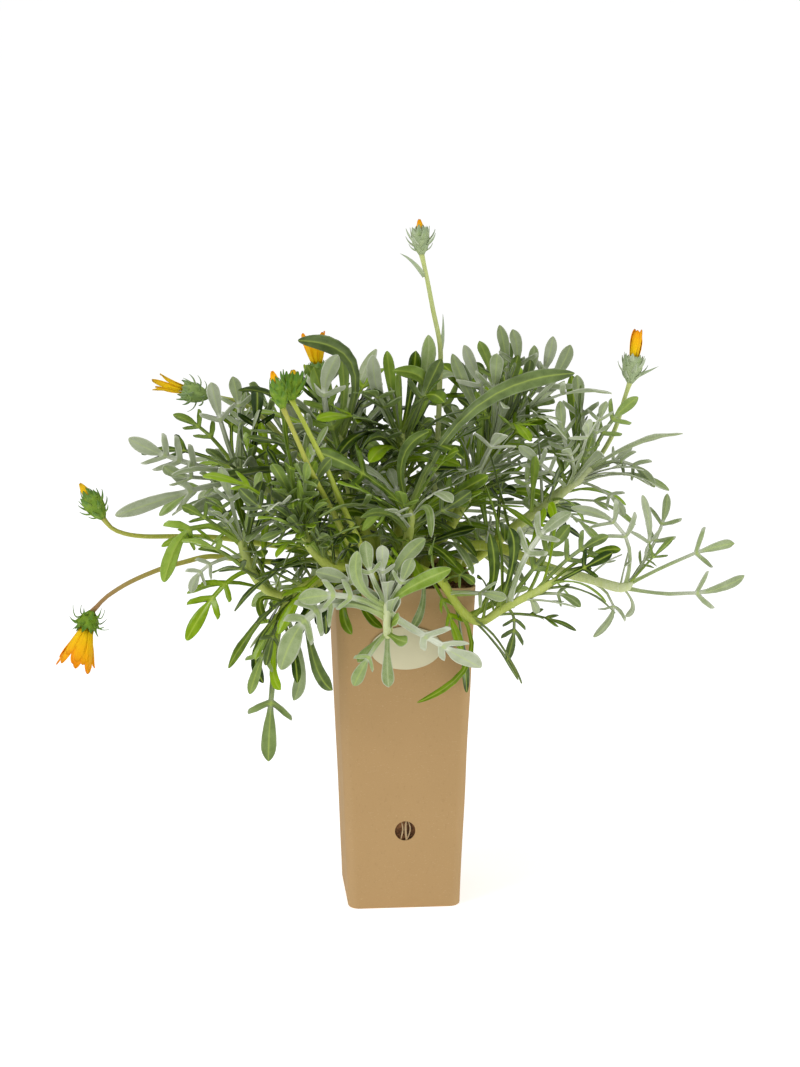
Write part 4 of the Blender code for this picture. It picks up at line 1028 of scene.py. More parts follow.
def close_up(bm, verts, skin):
    """Turns the faces of a finished closed body outwards and gives them their material."""
    faces = faces_of(verts)
    bmesh.ops.recalc_face_normals(bm, faces=faces)
    for face in faces:
        face.material_index = skin


def bend_grid(bm, columns, sides, place, skin=0):
    """Bends a grid into one thin blade. place(i, s) gives the lower point, the way through the blade and
    the values at column i and at s, -1 to 1 across."""
    grid = bmesh.ops.create_grid(bm, x_segments=columns - 1, y_segments=len(sides) - 1, size=1)["verts"]
    through = bm.verts.layers.float_vector["thickness"]
    for vert in grid:
        i = round((vert.co.x + 1) / 2 * (columns - 1))
        j = round((vert.co.y + 1) / 2 * (len(sides) - 1))
        point, way, values = place(i, sides[j])
        vert.co = point
        vert[through] = way
        tell(bm, [vert], **values)
    top = bmesh.ops.extrude_face_region(bm, geom=faces_of(grid))["geom"]
    under = bm.verts.layers.float["under"]
    raised = [item for item in top if isinstance(item, bmesh.types.BMVert)]
    for vert in raised:
        vert.co += vert[through]
        vert[under] = 0
    close_up(bm, grid + raised, skin)


def leaf_columns(length, pairs, size, broad):
    """A leaf's outline, column by column: (share, half width, place across a lobe or None, lobe's scale)."""
    unit = size / length
    columns = []
    widest = STRAP_HALF_WIDTH if pairs < 0 else BLADE_HALF_WIDTH
    if pairs <= 0:
        for share, half in STRAP if pairs else PLAIN:
            columns.append((share, half * size * broad, None, 0))
        middle = PLAIN_ROUND_FROM
    else:
        start = LOBES_FROM + (LOBES_TO - LOBES_FROM) * 0.5 / pairs - LOBE_HALF_WIDTH * unit
        for share, half in PETIOLE:
            if share < start - 0.02:
                columns.append((share, half * size * broad, None, 0))
        for i in range(pairs):
            share = LOBES_FROM + (LOBES_TO - LOBES_FROM) * (i + 0.5) / pairs
            scale = 0.72 + 0.28 * math.sin(math.pi * (i + 0.8) / (pairs + 0.6))
            for x in LOBE_ACROSS:
                reach = LOBE_REACH * scale * size * math.sqrt(1 - x ** 4)
                place = share + x * LOBE_HALF_WIDTH * unit * 0.85 * min(1.2, broad)
                columns.append((place, max(PETIOLE_HALF_WIDTH * size * broad, reach), x, scale))
        end = columns[-1][0]
        middle = LOBED_ROUND_FROM
        for share, half in LOBED_END:
            columns.append((end + (middle - end) * share, half * size * broad, None, 0))
    for x in TIP_ROUND:
        half = widest * (1 - 0.997 * x ** 2) ** 0.68
        columns.append((middle + (TIP_END - middle) * x, half * size * broad, None, 0))
    return columns


def fine_leaf(bm, spine, pairs, size, looks, thickness, draw):
    """One leaf with round lobes, a fleshy rib, rolled margins and a slight wave."""
    felt, tone, broad = looks
    columns = leaf_columns(spine.length, pairs, size, broad)
    seed = draw.uniform(0, 99)
    lifts = [(draw.uniform(*LOBE_LIFT), draw.uniform(*LOBE_LIFT)) for _ in range(MOST_LOBES)]
    order = []
    lobe = -1
    for _, _, x, _ in columns:
        if x == LOBE_ACROSS[0]:
            lobe += 1
        order.append(lobe)

    def place(i, s):
        share, half, x, scale = columns[i]
        offset = s * half
        out = abs(offset)
        rise = out * LEAF_CUP
        hand = 1 if s > 0 else -1
        rib = max(0.0, 1 - out / (0.22 * half + 0.35)) if out < 2.2 else 0.0
        vein = rib
        if x is not None:
            reach = LOBE_REACH * scale * size
            far = max(0.0, out - PETIOLE_HALF_WIDTH * size * broad) / reach
            share += far * reach * LOBE_FORWARD / LOBE_REACH * (1 + 0.12 * hand) / spine.length
            share += x * LOBE_HALF_WIDTH * size / spine.length * 0.45 * min(1, far * 1.6)
            rise += lifts[order[i]][s > 0] * far ** 2 * size * 1.8 - 0.5 * x * x * far * size
            if x == 0:
                vein = max(rib, 0.75 * (1 - far))
        else:
            rise -= 0.8 * size * s ** 4 * min(1, half / 5)
        wave = noise.noise(Vector((share * spine.length / WAVE_LENGTH, s * 0.8, seed)))
        rise += wave * (0.5 + out * 0.22) * min(1, share * 4) * size
        middle, side, upper = spine.frame(share)
        point = middle + side * offset + upper * (rise - thickness / 2)
        ribbed = rib * (1.25 * (1 - min(1, share)) ** 1.5 + 0.35) * size
        point -= upper * ribbed
        edge = 1.0 if abs(s) == 1 or i == len(columns) - 1 or (x is not None and abs(x) > 0.8) else 0.0
        vein = max(vein, 1 - share * 2.6)
        return point, upper * (thickness + ribbed), {
            "under": 1.0, "rib": vein, "rim": edge, "tone": tone, "felt": felt, "along": share}

    bend_grid(bm, len(columns), ACROSS, place)


def fine_tube(bm, route, radius_at, sides, values_at, skin):
    """A closed round stem along a route, extruded ring by ring."""
    through = (route[1] - route[0]).normalized()
    side = through.orthogonal().normalized()
    places = []
    for i, point in enumerate(route):
        ahead = (route[min(i + 1, len(route) - 1)] - route[max(i - 1, 0)]).normalized()
        side = (side - ahead * side.dot(ahead)).normalized()
        turn = Matrix((side, ahead.cross(side), ahead)).transposed().to_4x4()
        places.append(Matrix.Translation(point) @ turn @ Matrix.Scale(radius_at(i / (len(route) - 1)), 4))
    ring = bmesh.ops.create_circle(bm, segments=sides, radius=1, matrix=places[0])["verts"]
    tell(bm, ring, **values_at(0))
    edges = list({edge for vert in ring for edge in vert.link_edges})
    every = list(ring)
    bmesh.ops.holes_fill(bm, edges=edges, sides=sides)
    for i in range(1, len(places)):
        made = bmesh.ops.extrude_edge_only(bm, edges=edges)["geom"]
        ring = [item for item in made if isinstance(item, bmesh.types.BMVert)]
        edges = [item for item in made if isinstance(item, bmesh.types.BMEdge)]
        bmesh.ops.transform(bm, matrix=places[i] @ places[i - 1].inverted(), verts=ring)
        tell(bm, ring, **values_at(i / (len(places) - 1)))
        every += ring
    bmesh.ops.holes_fill(bm, edges=edges, sides=sides)
    close_up(bm, every, skin)


def leaf_tint(name, draw, age, lit=1.0):
    """A leaf's felt, thick on the silver ones and thin on the green ones, and its tone, dark to fresh."""
    if draw.random() < SHOOT_LOOKS[name][0] * lit:
        felt = FRONT_FELT if name == "shoot_front" else SILVER_FELT
        return draw.uniform(*felt), draw.uniform(*SILVER_TONE)
    age = HANGING_AGE if name == "shoot_left_hanging" else age
    return draw.uniform(*GREEN_FELT), draw.uniform(0.0, 1.0) ** age


def laid_leaves(packed, name, entry, order, route):
    """The leaves of a shoot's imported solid: those given in the front view, and then its crown's."""
    leaves = []
    draw = random.Random(order)
    for leaf in entry["leaves"]:
        leaves.append(packed.lay(name, shown_leaf(route, leaf, draw), leaf[4]))
    draw = random.Random(100 + order)
    for number in range(entry["crown"][0]):
        choose = crown_leaf(route, entry["crown"], number, draw)
        leaves.append(packed.lay(name, choose, draw.choice((0, 1, 1, 2))))
    return [leaf for leaf in leaves if leaf]


def shoot_stem(bm, name, entry):
    """A shoot's fleshy stem, with slight swellings, and felt towards its tip."""
    low, high = entry["radii"]

    def radius_at(share):
        swell = 0.5 + 0.5 * math.cos(share * 41)
        close = 0.35 if share > 0.999 else 1.0
        return (low + (high - low) * share) * (0.96 + 0.10 * swell) * close

    def values_at(share):
        grown = max(0.0, (share - 0.45) / 0.55)
        return {"felt": min(1.0, (SHOOT_LOOKS[name][0] + 0.1) * grown), "along": share, "tone": 0.5}

    route = smooth_route(stand(entry["hole"], entry["route"]), FINE_STEM_STEP)
    fine_tube(bm, route, radius_at, FINE_STEM_SIDES, values_at, 1)


def leaf_fits(packed, name, spine, pairs, tint, thickness, draw):
    """Whether a small leaf has room, apart from its foot, which stands in its stem."""
    trial = new_mesh()
    fine_leaf(trial, spine, pairs, leaf_size(spine.length), tint, thickness, draw)
    foot = [vert for vert in trial.verts if (vert.co - spine.root).length < spine.length * FOOT_SHARE]
    bmesh.ops.delete(trial, geom=foot, context="VERTS")
    fits = packed.free(name, trial)
    trial.free()
    return fits


def fill_shoot(bm, packed, name, entry, route, looks, draw):
    """The small leaves that fill one shoot, each at the first way to lie that has room."""
    _, fills, broad = SHOOT_LOOKS[name]
    count, length, spread = entry["crown"]
    thickness = looks.thickness / MM
    rosette = broad > ROSETTE_BREADTH
    stem_share, wider = ROSETTE_SPREAD if rosette else ORDINARY_SPREAD
    crown = (count, length * 0.9, spread + wider)
    for number in range(round(fills * looks.fill)):
        share = 1 - stem_share * ((number + 0.5) / fills) ** 0.9
        choose = crown_leaf(route, crown, number, draw, share)
        pairs = 0 if rosette else draw.choice(PAIRS_TO_DRAW)
        tint = leaf_tint(name, draw, SMALL_AGE, 0.6 * share + 0.3 * rosette) + (broad,)
        for attempt in range(SMALL_TRIES):
            spine = choose(attempt)
            state = draw.getstate()
            if leaf_fits(packed, name, spine, pairs, tint, thickness, draw):
                draw.setstate(state)
                fine_leaf(bm, spine, pairs, leaf_size(spine.length), tint, thickness, draw)
                break


def build_shoot(packed, name, entry, order, looks):
    """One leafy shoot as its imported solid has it, with the small leaves that fill it."""
    route = smooth_route(stand(entry["hole"], entry["route"]), STEM_STEP)
    leaves = laid_leaves(packed, name, entry, order, route)
    draw = random.Random(200 + order)
    bm = new_mesh()
    shoot_stem(bm, name, entry)
    for spine, pairs, size in leaves:
        tint = leaf_tint(name, draw, PACKED_AGE) + (SHOOT_LOOKS[name][2],)
        fine_leaf(bm, spine, pairs, size, tint, looks.thickness / MM, draw)
    fill_shoot(bm, packed, name, entry, route, looks, draw)
    return bm, route


def inside(across, up):
    """Whether a place in the front view lies within the mass of leaves."""
    crossings = 0
    for (x0, y0), (x1, y1) in zip(MASS, MASS[1:] + MASS[:1]):
        if (y0 > up) != (y1 > up) and across < x0 + (up - y0) / (y1 - y0) * (x1 - x0):
            crossings += 1
    return crossings % 2 == 1


def nearest_root(shoots, tip, share, want):
    """The shoot, root and stem direction from which a leaf of the wanted length best reaches a tip."""
    best = None
    for name, (_, route) in shoots.items():
        if name == "shoot_front":
            continue
        for place in (share, 0.35 + 0.65 * share, 0.7 + 0.3 * share):
            root, ahead = along(route, place)
            reach = tip - root
            if ahead.dot(reach.normalized()) < 0.1:
                continue
            miss = abs(reach.length - want) + 0.3 * abs(place - 0.8) * want
            if best is None or miss < best[0]:
                best = (miss, name, root - ahead * ROOT_SUNK, ahead)
    return best[1:] if best and best[0] <= GREATEST_MISS else None


def fill_mass(packed, shoots, looks):
    """Grows leaves from the nearest shoots into the parts of the mass that still have none."""
    draw = random.Random(11)
    thickness = looks.thickness / MM
    low = [min(point[axis] for point in MASS) for axis in (0, 1)]
    high = [max(point[axis] for point in MASS) for axis in (0, 1)]
    for number in range(round((MASS_TRIES + VEIL_TRIES) * looks.fill)):
        across, up = draw.uniform(low[0], high[0]), draw.uniform(low[1], high[1])
        depth, share, want = draw.uniform(*MASS_DEPTH), draw.uniform(0.1, 1.0), draw.uniform(*MASS_LENGTH)
        veil = number >= MASS_TRIES * looks.fill
        if veil:
            across, up, depth = [draw.uniform(*ends) for ends in VEIL]
            want *= 0.8
        pairs, bow, roll = draw.choice(PAIRS_TO_DRAW), draw.uniform(0, 0.22), draw.uniform(-0.9, 0.9)
        if not inside(across, up):
            continue
        tip = seen(across, up, depth)
        found = nearest_root(shoots, tip, share, want)
        if found is None:
            continue
        name, root, ahead = found
        reach = tip - root
        middle = root.lerp(tip, 0.5) + (ahead * 0.6 + UP * 0.4) * bow * reach.length
        facing = Matrix.Rotation(roll, 3, reach.normalized()) @ (UP - ahead * 0.3 - front_axes()[2] * 0.2)
        spine = Spine(root, middle, tip, facing, roll * 0.4)
        state = draw.getstate()
        age, lit = (VEIL_AGE, 0.2) if veil else (SMALL_AGE, 0.4)
        tint = leaf_tint(name, draw, age, lit) + (SHOOT_LOOKS[name][2],)
        if leaf_fits(packed, name, spine, pairs, tint, thickness, draw):
            fine_leaf(shoots[name][0], spine, pairs, leaf_size(spine.length), tint, thickness, draw)
        draw.setstate(state)
        draw.random()


def head_frame(entry, end):
    """The matrix that stands a head on its stalk's end, pointing the way it aims."""
    right, rise, _ = front_axes()
    across, up, depth = entry["aim"]
    axis = (right * across + rise * up + Vector((0, 1, 0)) * depth).normalized()
    return Matrix.Translation(end) @ axis.to_track_quat("Z", "Y").to_matrix().to_4x4()


def turned_solid(bm, profile, sides, ridges, depth):
    """A solid spun round +Z from (radius, height) points, with ridges on its side."""
    chain = [bm.verts.new((radius, 0, height)) for radius, height in profile]
    edges = [bm.edges.new(pair) for pair in zip(chain, chain[1:])]
    before = set(bm.verts) - set(chain)
    bmesh.ops.spin(bm, geom=chain + edges, axis=(0, 0, 1), cent=(0, 0, 0), steps=sides, angle=math.tau,
                   use_merge=True)
    verts = [vert for vert in bm.verts if vert not in before]
    for vert in verts:
        flat = math.hypot(vert.co.x, vert.co.y)
        if flat > 0.8:
            angle = math.atan2(vert.co.y, vert.co.x)
            share = 1 + depth / flat * math.cos(ridges * angle)
            vert.co.x *= share
            vert.co.y *= share
    bmesh.ops.remove_doubles(bm, verts=verts, dist=1e-4)
    return [vert for vert in bm.verts if vert not in before]


def bract(bm, spine, half, felt):
    """A narrow pointed blade: a bract, a scale of a bud or a narrow leaf of a stalk. It is material 1."""

    def place(i, s):
        middle, side, upper = spine.frame(BRACT_SHARES[i])
        offset = s * half * BRACT_WIDTHS[i]
        thick = 0.9 * (1 - 0.75 * BRACT_SHARES[i]) * (1 - 0.6 * s * s) + 0.12
        point = middle + side * offset + upper * (0.12 * offset * offset - thick / 2)
        return point, upper * thick, {"under": 1.0, "rim": abs(s), "tone": 0.5, "felt": felt,
                                      "along": BRACT_SHARES[i], "rib": 1 - abs(s), "across": s}

    bend_grid(bm, len(BRACT_SHARES), BRACT_ACROSS, place, 1)


def cup_profile(radius, height):
    """A cup's outline from its foot to the middle of its top, as (radius, height) points."""
    return [(0.0, -1.2), (1.5, -1.0), (radius * 0.42, height * 0.05), (radius * 0.66, height * 0.2),
            (radius * 0.86, height * 0.4), (radius * 0.96, height * 0.6), (radius * 0.96, height * 0.8),
            (radius * 0.86, height), (radius * 0.6, height * 1.02), (0.0, height * 1.02)]


def cup_and_bracts(bm, entry, silver, draw):
    """A head's ridged cup with its bracts, in the head's own frame. The cup is material 1."""
    radius, height = entry["cup"]
    count, length, flare = entry["bracts"]
    profile = cup_profile(radius, height)
    verts = turned_solid(bm, profile, 4 * count, count, 0.35)
    tell(bm, verts, felt=silver, tone=0.5, along=0.2)
    close_up(bm, verts, 1)
    bulge = 1.3 if flare < 90 else 0.55
    for number, (level, long, lean_share, half, every) in enumerate(BRACT_RINGS):
        for i in range(count):
            if not every and i % 2 != number % 2:
                continue
            arm = arm_at(math.tau * (i + 0.5 * every) / count)
            lean = math.radians(flare) * lean_share * draw.uniform(0.85, 1.15)
            reach = length * long * draw.uniform(0.9, 1.1)
            start = profile[2 + round(level * 5)][0]
            root = arm * (start - 0.5) + UP * height * (level - 0.1)
            turned = [UP * math.cos(angle) + arm * math.sin(angle) for angle in (lean * bulge, lean)]
            spine = Spine(root, root + turned[0] * reach * 0.5, root + turned[1] * reach, -arm,
                          draw.uniform(-0.3, 0.3))
            bract(bm, spine, half, silver * draw.uniform(0.8, 1.1))


def bud_scales(bm, entry, silver):
    """The green scales that hold a bud's closed petals."""
    height = entry["cup"][1]
    _, length, _, low, _ = entry["petals"]
    for i in range(BUD_SCALES):
        arm = arm_at(math.tau * i / BUD_SCALES)
        root = arm * (low + 1.3) + UP * (height * 0.9)
        middle = arm * (low + 1.0) + UP * (height + length * 0.25)
        tip = arm * (low * 0.55 + 0.8) + UP * (height + length * (0.62 if i % 2 else 0.5))
        bract(bm, Spine(root, middle, tip, -arm, 0.0), 2.0, silver * 0.9)


def fine_petal(bm, spine, half, curl, tone, draw):
    """One strap-shaped petal with grooves and a pointed tip."""
    seed = draw.uniform(0, 99)

    def place(i, s):
        share = PETAL_SHARES[i]
        middle, side, upper = spine.frame(share)
        offset = s * half * PETAL_WIDTHS[i]
        groove = 0.12 * math.cos(s * math.pi * 3)
        wave = noise.noise(Vector((share * 3, s, seed))) * 0.5 * share
        rise = curl * offset * offset / half + groove + wave
        point = middle + side * offset + upper * (rise - 0.2)
        return point, upper * 0.4, {"under": 1.0, "rim": abs(s) ** 3, "tone": tone, "along": share,
                                    "across": s}

    bend_grid(bm, len(PETAL_SHARES), PETAL_ACROSS, place)


def bud_petals(bm, entry, draw):
    """A bud's closed and overlapping petals, in the head's own frame."""
    _, length, _, low, high = entry["petals"]
    top = entry["cup"][1] + GAP
    for number in range(BUD_PETALS):
        odd = number % 2
        arm = arm_at(math.tau * number / BUD_PETALS + 0.2 * odd)
        reach = length * (1.0 if odd else 0.9)
        root = arm * (low - 0.3) + UP * (top - 0.8)
        middle = arm * (low * 0.85) + UP * (top + reach * 0.45)
        tip = arm * high * 0.8 + UP * (top + reach)
        spine = Spine(root, middle, tip, -arm, 0.25)
        fine_petal(bm, spine, low * 0.62, 0.55, number / BUD_PETALS, draw)


def whorl_petals(bm, entry, draw):
    """A flower's petals in two whorls, or a spent one's in one, in the head's own frame."""
    count, length, half, low, high = entry["petals"]
    top = entry["cup"][1] + GAP
    spent = entry["colour"] == "yellow"
    closed = high < 6 and not spent
    outer = 6 if spent else count - (3 if count > 8 else 1)
    wide = high * (0.6 if closed else 0.92)
    curl = 0.4 if spent else 0.35 if closed else 0.16
    width = 1.5 if spent else max(half, 1.3) * (0.88 if closed else 1.12)
    for whorl, share, petals in ((0, 1.0, outer), (1, 0.86, 0 if spent else outer - 2)):
        for number in range(petals):
            arm = arm_at(math.tau * (number + 0.5 * whorl) / petals + draw.uniform(-0.1, 0.1))
            reach = length * share * (1, 0.84, 0.95)[number % 3]
            inner = 0.9 * (number % 2) + 1.1 * whorl
            root = arm * max(0.6, low - 0.6 - inner) + UP * (top - 0.2)
            middle = arm * max(0.6, (low + wide) / 2 - inner + 0.8) + UP * (top + reach * 0.55)
            tip = arm * max(0.4, wide - inner * 0.5) + UP * (top + reach)
            if spent:
                middle -= UP * 2 + arm
                tip += Vector((draw.uniform(-2, 2), draw.uniform(-2, 2), -draw.uniform(1, 6)))
            spine = Spine(root, middle, tip, -arm, draw.uniform(-0.4, 0.4))
            fine_petal(bm, spine, width, curl, draw.random(), draw)


def flower_stalk(bm, entry, silver, blush):
    """A stalk that narrows towards its head and widens at its neck."""
    low, high = STALK_RADII

    def radius_at(share):
        neck = 1 + 0.35 * max(0.0, (share - 0.96) / 0.04)
        return (low + (high - low) * share) * neck

    def values_at(share):
        return {"felt": silver ** 2, "along": share, "blush": blush * max(0.0, (share - 0.35) / 0.65)}

    route = smooth_route(stand(entry["hole"], entry["route"]), FINE_STALK_STEP)
    fine_tube(bm, route, radius_at, FINE_STALK_SIDES, values_at, 0)


def build_flower(name, entry, order, skins, petal):
    """One flower: a piece for the stalk, cup and bracts, and one for the petals."""
    silver, blush, narrow_leaves = FLOWER_LOOKS[name]
    bud = entry["petals"][4] < entry["petals"][3]
    draw = random.Random(300 + order)
    place = head_frame(entry, smooth_route(stand(entry["hole"], entry["route"]), STALK_STEP)[-1])
    bm = new_mesh()
    cup_and_bracts(bm, entry, silver, draw)
    if bud:
        bud_scales(bm, entry, silver)
    bmesh.ops.transform(bm, matrix=place, verts=bm.verts)
    flower_stalk(bm, entry, silver, blush)
    for ends in narrow_leaves:
        spine = Spine(*[seen(*point) for point in ends], front_axes()[2], 0.4)
        bract(bm, spine, 1.6, silver)
    piece(bm, "fine_" + name + "_stalk", skins, "flower_stalk", name + "_stalk")
    bm = new_mesh()
    if bud:
        bud_petals(bm, entry, draw)
    else:
        whorl_petals(bm, entry, draw)
    bmesh.ops.transform(bm, matrix=place, verts=bm.verts)
    slot = "orange_petal" if entry["colour"] == "orange" else "yellow_petal"
    piece(bm, "fine_" + name + "_petals", [petal], slot, name + "_petals")


def square_body(bm, low_half, high_half, low, high, radius, steps):
    """A tapering square body with rounded upright edges, from one four-sided cone."""
    root = math.sqrt(2)
    place = Matrix.Translation((0, 0, (low + high) / 2)) @ Matrix.Rotation(math.pi / 4, 4, "Z")
    made = bmesh.ops.create_cone(bm, cap_ends=True, segments=4, radius1=low_half * root,
                                 radius2=high_half * root, depth=high - low, matrix=place)["verts"]
    upright = [edge for edge in {e for v in made for e in v.link_edges}
               if abs(edge.verts[0].co.z - edge.verts[1].co.z) > 1]
    round_edges(bm, upright, radius, steps)


def cut_walls(bm):
    """Cuts the carton's walls into levels and columns, so that they can bow."""
    cuts = [(UP * level * LEVEL_STEP, UP) for level in range(1, LEVELS + 1)]
    for step in range(-COLUMNS, COLUMNS + 1):
        for normal in (Vector((1, 0, 0)), Vector((0, 1, 0))):
            cuts.append((normal * step * COLUMN_STEP, normal))
    for place, normal in cuts:
        bmesh.ops.bisect_plane(bm, geom=bm.verts[:] + bm.edges[:] + bm.faces[:], plane_co=place,
                               plane_no=normal)


def bow_walls(bm):
    """Bows the carton's walls softly, and tells where its folds are."""
    fold = bm.verts.layers.float["fold"]
    for vert in bm.verts:
        share = vert.co.z / CARTON_HEIGHT
        flat = Vector((vert.co.x, vert.co.y, 0))
        if vert.co.z > 2:
            bow = noise.noise(vert.co / BOW_WIDTH) * BOW * math.sin(math.pi * min(1, share * 0.9 + 0.05))
            vert.co += flat.normalized() * (bow - BOW_INWARD)
        half = half_at(vert.co.z)
        off = abs(abs(vert.co.x) - half) + abs(abs(vert.co.y) - half)
        vert[fold] = max(0.0, 1 - off / FOLD_WIDTH)


def cut_drain(made, looks):
    """Cuts the drain hole through the carton's front wall."""
    height = looks.drain_height
    turn = Matrix.Translation((0, -half_at(height / MM) * MM, height)) @ Matrix.Rotation(math.pi / 2, 4, "X")
    drill = bmesh.new()
    bmesh.ops.create_cone(drill, cap_ends=True, segments=40, radius1=looks.drain_radius,
                          radius2=looks.drain_radius, depth=6 * MM, matrix=turn)
    cutter = mesh_object(drill, "drain_cutter")
    cut = made.modifiers.new("drain hole", "BOOLEAN")
    cut.object = cutter
    cut.operation = "DIFFERENCE"
    graph = bpy.context.evaluated_depsgraph_get()
    mesh = bpy.data.meshes.new_from_object(made.evaluated_get(graph))
    made.modifiers.clear()
    made.data = mesh
    bpy.data.objects.remove(cutter, do_unlink=True)


def build_carton(looks):
    """The folded board carton with softly bowed walls and a cut drain hole."""
    bm = new_mesh()
    square_body(bm, FOOT_HALF, RIM_HALF, 0, CARTON_HEIGHT, looks.corner_radius / MM, 8)
    foot = [edge for edge in bm.edges if all(vert.co.z < 0.01 for vert in edge.verts)]
    round_edges(bm, foot, FOOT_ROUND, 3)
    lid = [face for face in bm.faces if all(vert.co.z > CARTON_HEIGHT - 0.01 for vert in face.verts)]
    bmesh.ops.delete(bm, geom=lid, context="FACES")
    cut_walls(bm)
    bmesh.ops.recalc_face_normals(bm, faces=bm.faces)
    bow_walls(bm)
    bmesh.ops.solidify(bm, geom=bm.faces[:], thickness=BOARD)
    tell(bm, [vert for vert in bm.verts if vert.co.z > CARTON_HEIGHT - 0.05], cut=RIM_CUT)
    made = piece(bm, "board_carton", [kraft_skin(looks)], "kraft_board", "carton")
    cut_drain(made, looks)
    made.data.set_sharp_from_angle(angle=math.radians(42))


def build_label(looks):
    """A thin bare oval label on the front wall, following its lean."""
    bm = new_mesh()
    lean = math.atan((RIM_HALF - FOOT_HALF) / CARTON_HEIGHT)
    height = looks.label_height / MM
    place = Matrix.Translation((0, -half_at(height) - GAP - LABEL_THICKNESS / 2, height))
    bmesh.ops.create_cone(bm, cap_ends=True, segments=72, radius1=1, radius2=1, depth=1)
    bmesh.ops.scale(bm, vec=(LABEL_HALF_WIDTH, LABEL_HALF_HEIGHT, LABEL_THICKNESS), verts=bm.verts)
    rims = [edge for edge in bm.edges if abs(edge.verts[0].co.z - edge.verts[1].co.z) < 0.01]
    round_edges(bm, rims, LABEL_ROUND, 2)
    bmesh.ops.transform(bm, matrix=place @ Matrix.Rotation(math.pi / 2 + lean, 4, "X"), verts=bm.verts)
    made = piece(bm, "oval_label", [paper_skin(looks)], "label_paper", "label")
    made.data.set_sharp_from_angle(angle=math.radians(50))


def soil_body(bm):
    """The root ball and its rough top, which falls off at the walls."""
    top = soil_top()
    square_body(bm, half_at(SOIL_INSET) - SOIL_INSET - 0.6, half_at(top) - SOIL_INSET - 0.4,
                SOIL_INSET + 0.2, top, SOIL_CORNER, 5)
    grid = bmesh.ops.create_grid(bm, x_segments=SOIL_STEPS, y_segments=SOIL_STEPS,
                                 size=half_at(top) - SOIL_INSET - 1.2,
                                 matrix=Matrix.Translation((0, 0, top + 0.3)))["verts"]
    for vert in grid:
        rough = noise.turbulence(vert.co / SOIL_ROUGH[0], 3, False) * SOIL_ROUGH[1]
        vert.co.z += rough + noise.noise(vert.co / SOIL_SWELL[0]) * SOIL_SWELL[1] - 0.6
        edge = max(abs(vert.co.x), abs(vert.co.y)) / half_at(top)
        vert.co.z -= 15 * max(0.0, edge - 0.9)


def soil_crumbs(bm, looks):
    """Loose crumbs on the soil's top, and a few behind the drain hole."""
    draw = random.Random(7)
    top = soil_top()
    hole = looks.drain_height / MM
    reach = half_at(top) - SOIL_INSET - 3
    for number in range(looks.crumbs):
        size = draw.uniform(0.6, 2.1) * (1.25 if draw.random() < 0.1 else 0.8)
        if number % DRAIN_CRUMB == 0:
            at = Vector((draw.uniform(-7, 7), -half_at(hole) + SOIL_INSET + 0.9, hole + draw.uniform(-7, 7)))
            size *= 0.6
        else:
            at = Vector((draw.uniform(-reach, reach), draw.uniform(-reach, reach), top + 0.6))
        turn = Matrix.Rotation(draw.uniform(0, 6), 4, "X") @ Matrix.Rotation(draw.uniform(0, 6), 4, "Z")
        shape = Matrix.Diagonal((size, size * draw.uniform(0.6, 1), size * draw.uniform(0.5, 0.9), 1))
        made = bmesh.ops.create_icosphere(bm, subdivisions=1, radius=1,
                                          matrix=Matrix.Translation(at) @ turn @ shape)["verts"]
        for vert in made:
            vert.co += noise.noise_vector(vert.co * 1.7) * size * 0.35


def build_soil(looks):
    """The root ball with its crumbs, and pale roots at the drain hole."""
    bm = new_mesh()
    soil_body(bm)
    soil_crumbs(bm, looks)
    piece(bm, "crumbly_soil", [soil_skin(looks)], "potting_soil", "soil")
    bm = new_mesh()
    hole = looks.drain_height / MM
    front = -half_at(hole) + SOIL_INSET - 0.6
    for x, lean, radius in DRAIN_ROOTS:
        points = [Vector((x - lean * 2, front + 1.6, hole - 8)), Vector((x, front, hole - 3)),
                  Vector((x + lean, front - 0.2, hole + 2)), Vector((x - lean, front + 1.6, hole + 8))]
        route = smooth_route(points, 1.5)
        fine_tube(bm, route, lambda share, r=radius: r, 8, lambda share: {"along": share}, 0)
    piece(bm, "drain_roots", [root_skin()], "potting_soil")


class GAZANIA_OT_carton(Operator):
    """Builds the carton, its bare label and the soil"""

    bl_idname = "gazania.carton"
    bl_label = "Carton, label and soil"

    def execute(self, context):
        looks = context.scene.gazania_carton
        build_carton(looks)
        build_label(looks)
        build_soil(looks)
        return {"FINISHED"}


class GAZANIA_OT_shoots(Operator):
    """Builds every leafy shoot"""

    bl_idname = "gazania.shoots"
    bl_label = "Leafy shoots"

    def execute(self, context):
        looks = context.scene.gazania_leaves
        skins = [leaf_skin(looks), stem_skin("shoot_stem", looks, STEM_BLUSH)]
        packed = Packed()
        shoots = {}
        for order, (name, entry) in enumerate(SHOOTS.items()):
            shoots[name] = build_shoot(packed, name, entry, order, looks)
        fill_mass(packed, shoots, looks)
        for name, (bm, _) in shoots.items():
            slot = "silver_leaf" if SHOOT_LOOKS[name][0] > 0.5 and "left" not in name else "green_leaf"
            piece(bm, "fine_" + name, skins, slot, name)
        return {"FINISHED"}


class GAZANIA_OT_flowers(Operator):
    """Builds every flower and bud"""

    bl_idname = "gazania.flowers"
    bl_label = "Flowers and buds"

    def execute(self, context):
        looks = context.scene.gazania_flowers
        leaves = context.scene.gazania_leaves
        skins = [stem_skin("flower_stalk", leaves, looks.blush), cup_skin("flower_cup", looks, leaves.wool)]
        fresh = petal_skin("fresh_petal", looks, 0.0)
        faded = petal_skin("faded_petal", looks, 0.8)
        for order, (name, entry) in enumerate(FLOWERS.items()):
            petal = faded if entry["colour"] == "yellow" else fresh
            build_flower(name, entry, order, skins, petal)
        return {"FINISHED"}


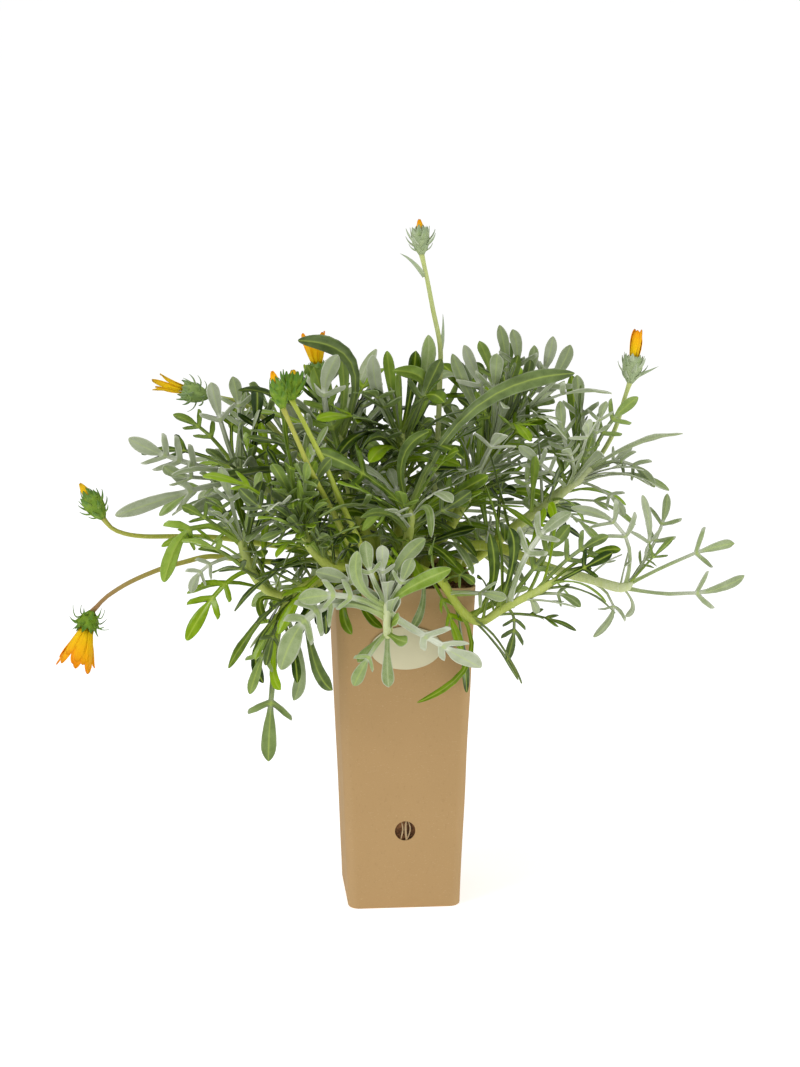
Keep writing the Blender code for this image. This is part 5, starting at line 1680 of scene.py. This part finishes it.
class GAZANIA_OT_stage(Operator):
    """Builds the pale floor, the soft lights and the camera"""

    bl_idname = "gazania.stage"
    bl_label = "Floor, lights and camera"

    def execute(self, context):
        scene = context.scene
        looks = scene.gazania_stage
        bm = bmesh.new()
        bmesh.ops.create_circle(bm, cap_ends=True, segments=96, radius=FLOOR_RADIUS)
        floor = mesh_object(bm, "floor")
        skin = Skin("pale_floor", {"Specular IOR Level": 0.0, "Emission Color": (1, 1, 1, 1),
                                   "Emission Strength": looks.glow})
        cloud = skin.noise(0.5, 1)
        pale = skin.mix(cloud * 0.01, looks.floor, (1, 1, 1))
        floor.data.materials.append(skin.finish(pale, cloud * 0.01 + 0.9, cloud, 0.0001))
        scene.world = bpy.data.worlds.new("even sky")
        scene.world.use_nodes = True
        sky = scene.world.node_tree.nodes["Background"]
        sky.inputs["Color"].default_value = (1, 1, 1, 1)
        sky.inputs["Strength"].default_value = looks.sky
        scene.view_settings.view_transform = "Standard"
        for name, power, size, place in (("key", looks.key, KEY_SIZE, KEY_PLACE),
                                         ("fill", looks.fill, FILL_SIZE, FILL_PLACE)):
            light = bpy.data.lights.new(name, "AREA")
            light.energy = power
            light.size = size
            lamp = new_object(name, light)
            lamp.location = place
            aim = Vector(LIGHTS_AIM) - lamp.location
            lamp.rotation_euler = aim.to_track_quat("-Z", "Y").to_euler()
        lens = bpy.data.cameras.new("camera")
        lens.sensor_fit = "HORIZONTAL"
        lens.sensor_width = SENSOR
        lens.lens = SENSOR * EYE_DISTANCE / VIEW_WIDTH
        lens.clip_end = SIGHT_END
        scene.camera = new_object("camera", lens)
        turn = Matrix(front_axes()).transposed().to_4x4()
        scene.camera.matrix_world = Matrix.Translation(eye_point() * MM) @ turn
        return {"FINISHED"}


class GAZANIA_PT_parts(Panel):
    """Lists the pieces and their looks"""

    bl_label = "Potted gazania"
    bl_idname = "GAZANIA_PT_parts"
    bl_space_type = "VIEW_3D"
    bl_region_type = "UI"
    bl_category = "Gazania"

    def draw(self, context):
        for operator, group in ((GAZANIA_OT_carton, "gazania_carton"), (GAZANIA_OT_shoots, "gazania_leaves"),
                                (GAZANIA_OT_flowers, "gazania_flowers"), (GAZANIA_OT_stage, "gazania_stage")):
            box = self.layout.box()
            box.operator(operator.bl_idname)
            settings = getattr(context.scene, group)
            for name in settings.__annotations__:
                box.prop(settings, name)


GROUPS = {"gazania_carton": CartonLooks, "gazania_leaves": LeafLooks, "gazania_flowers": FlowerLooks,
          "gazania_stage": StageLooks}
CLASSES = (*GROUPS.values(), GAZANIA_OT_carton, GAZANIA_OT_shoots, GAZANIA_OT_flowers, GAZANIA_OT_stage,
           GAZANIA_PT_parts)


def register():
    """Registers the classes and gives the scene its settings."""
    for cls in CLASSES:
        bpy.utils.register_class(cls)
    for name, group in GROUPS.items():
        setattr(bpy.types.Scene, name, PointerProperty(type=group))


def unregister():
    """Takes the settings and the classes away again."""
    for name in GROUPS:
        delattr(bpy.types.Scene, name)
    for cls in reversed(CLASSES):
        bpy.utils.unregister_class(cls)


def main():
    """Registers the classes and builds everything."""
    register()
    bpy.ops.gazania.stage()
    bpy.ops.gazania.carton()
    bpy.ops.gazania.shoots()
    bpy.ops.gazania.flowers()


if __name__ == "__main__":
    main()
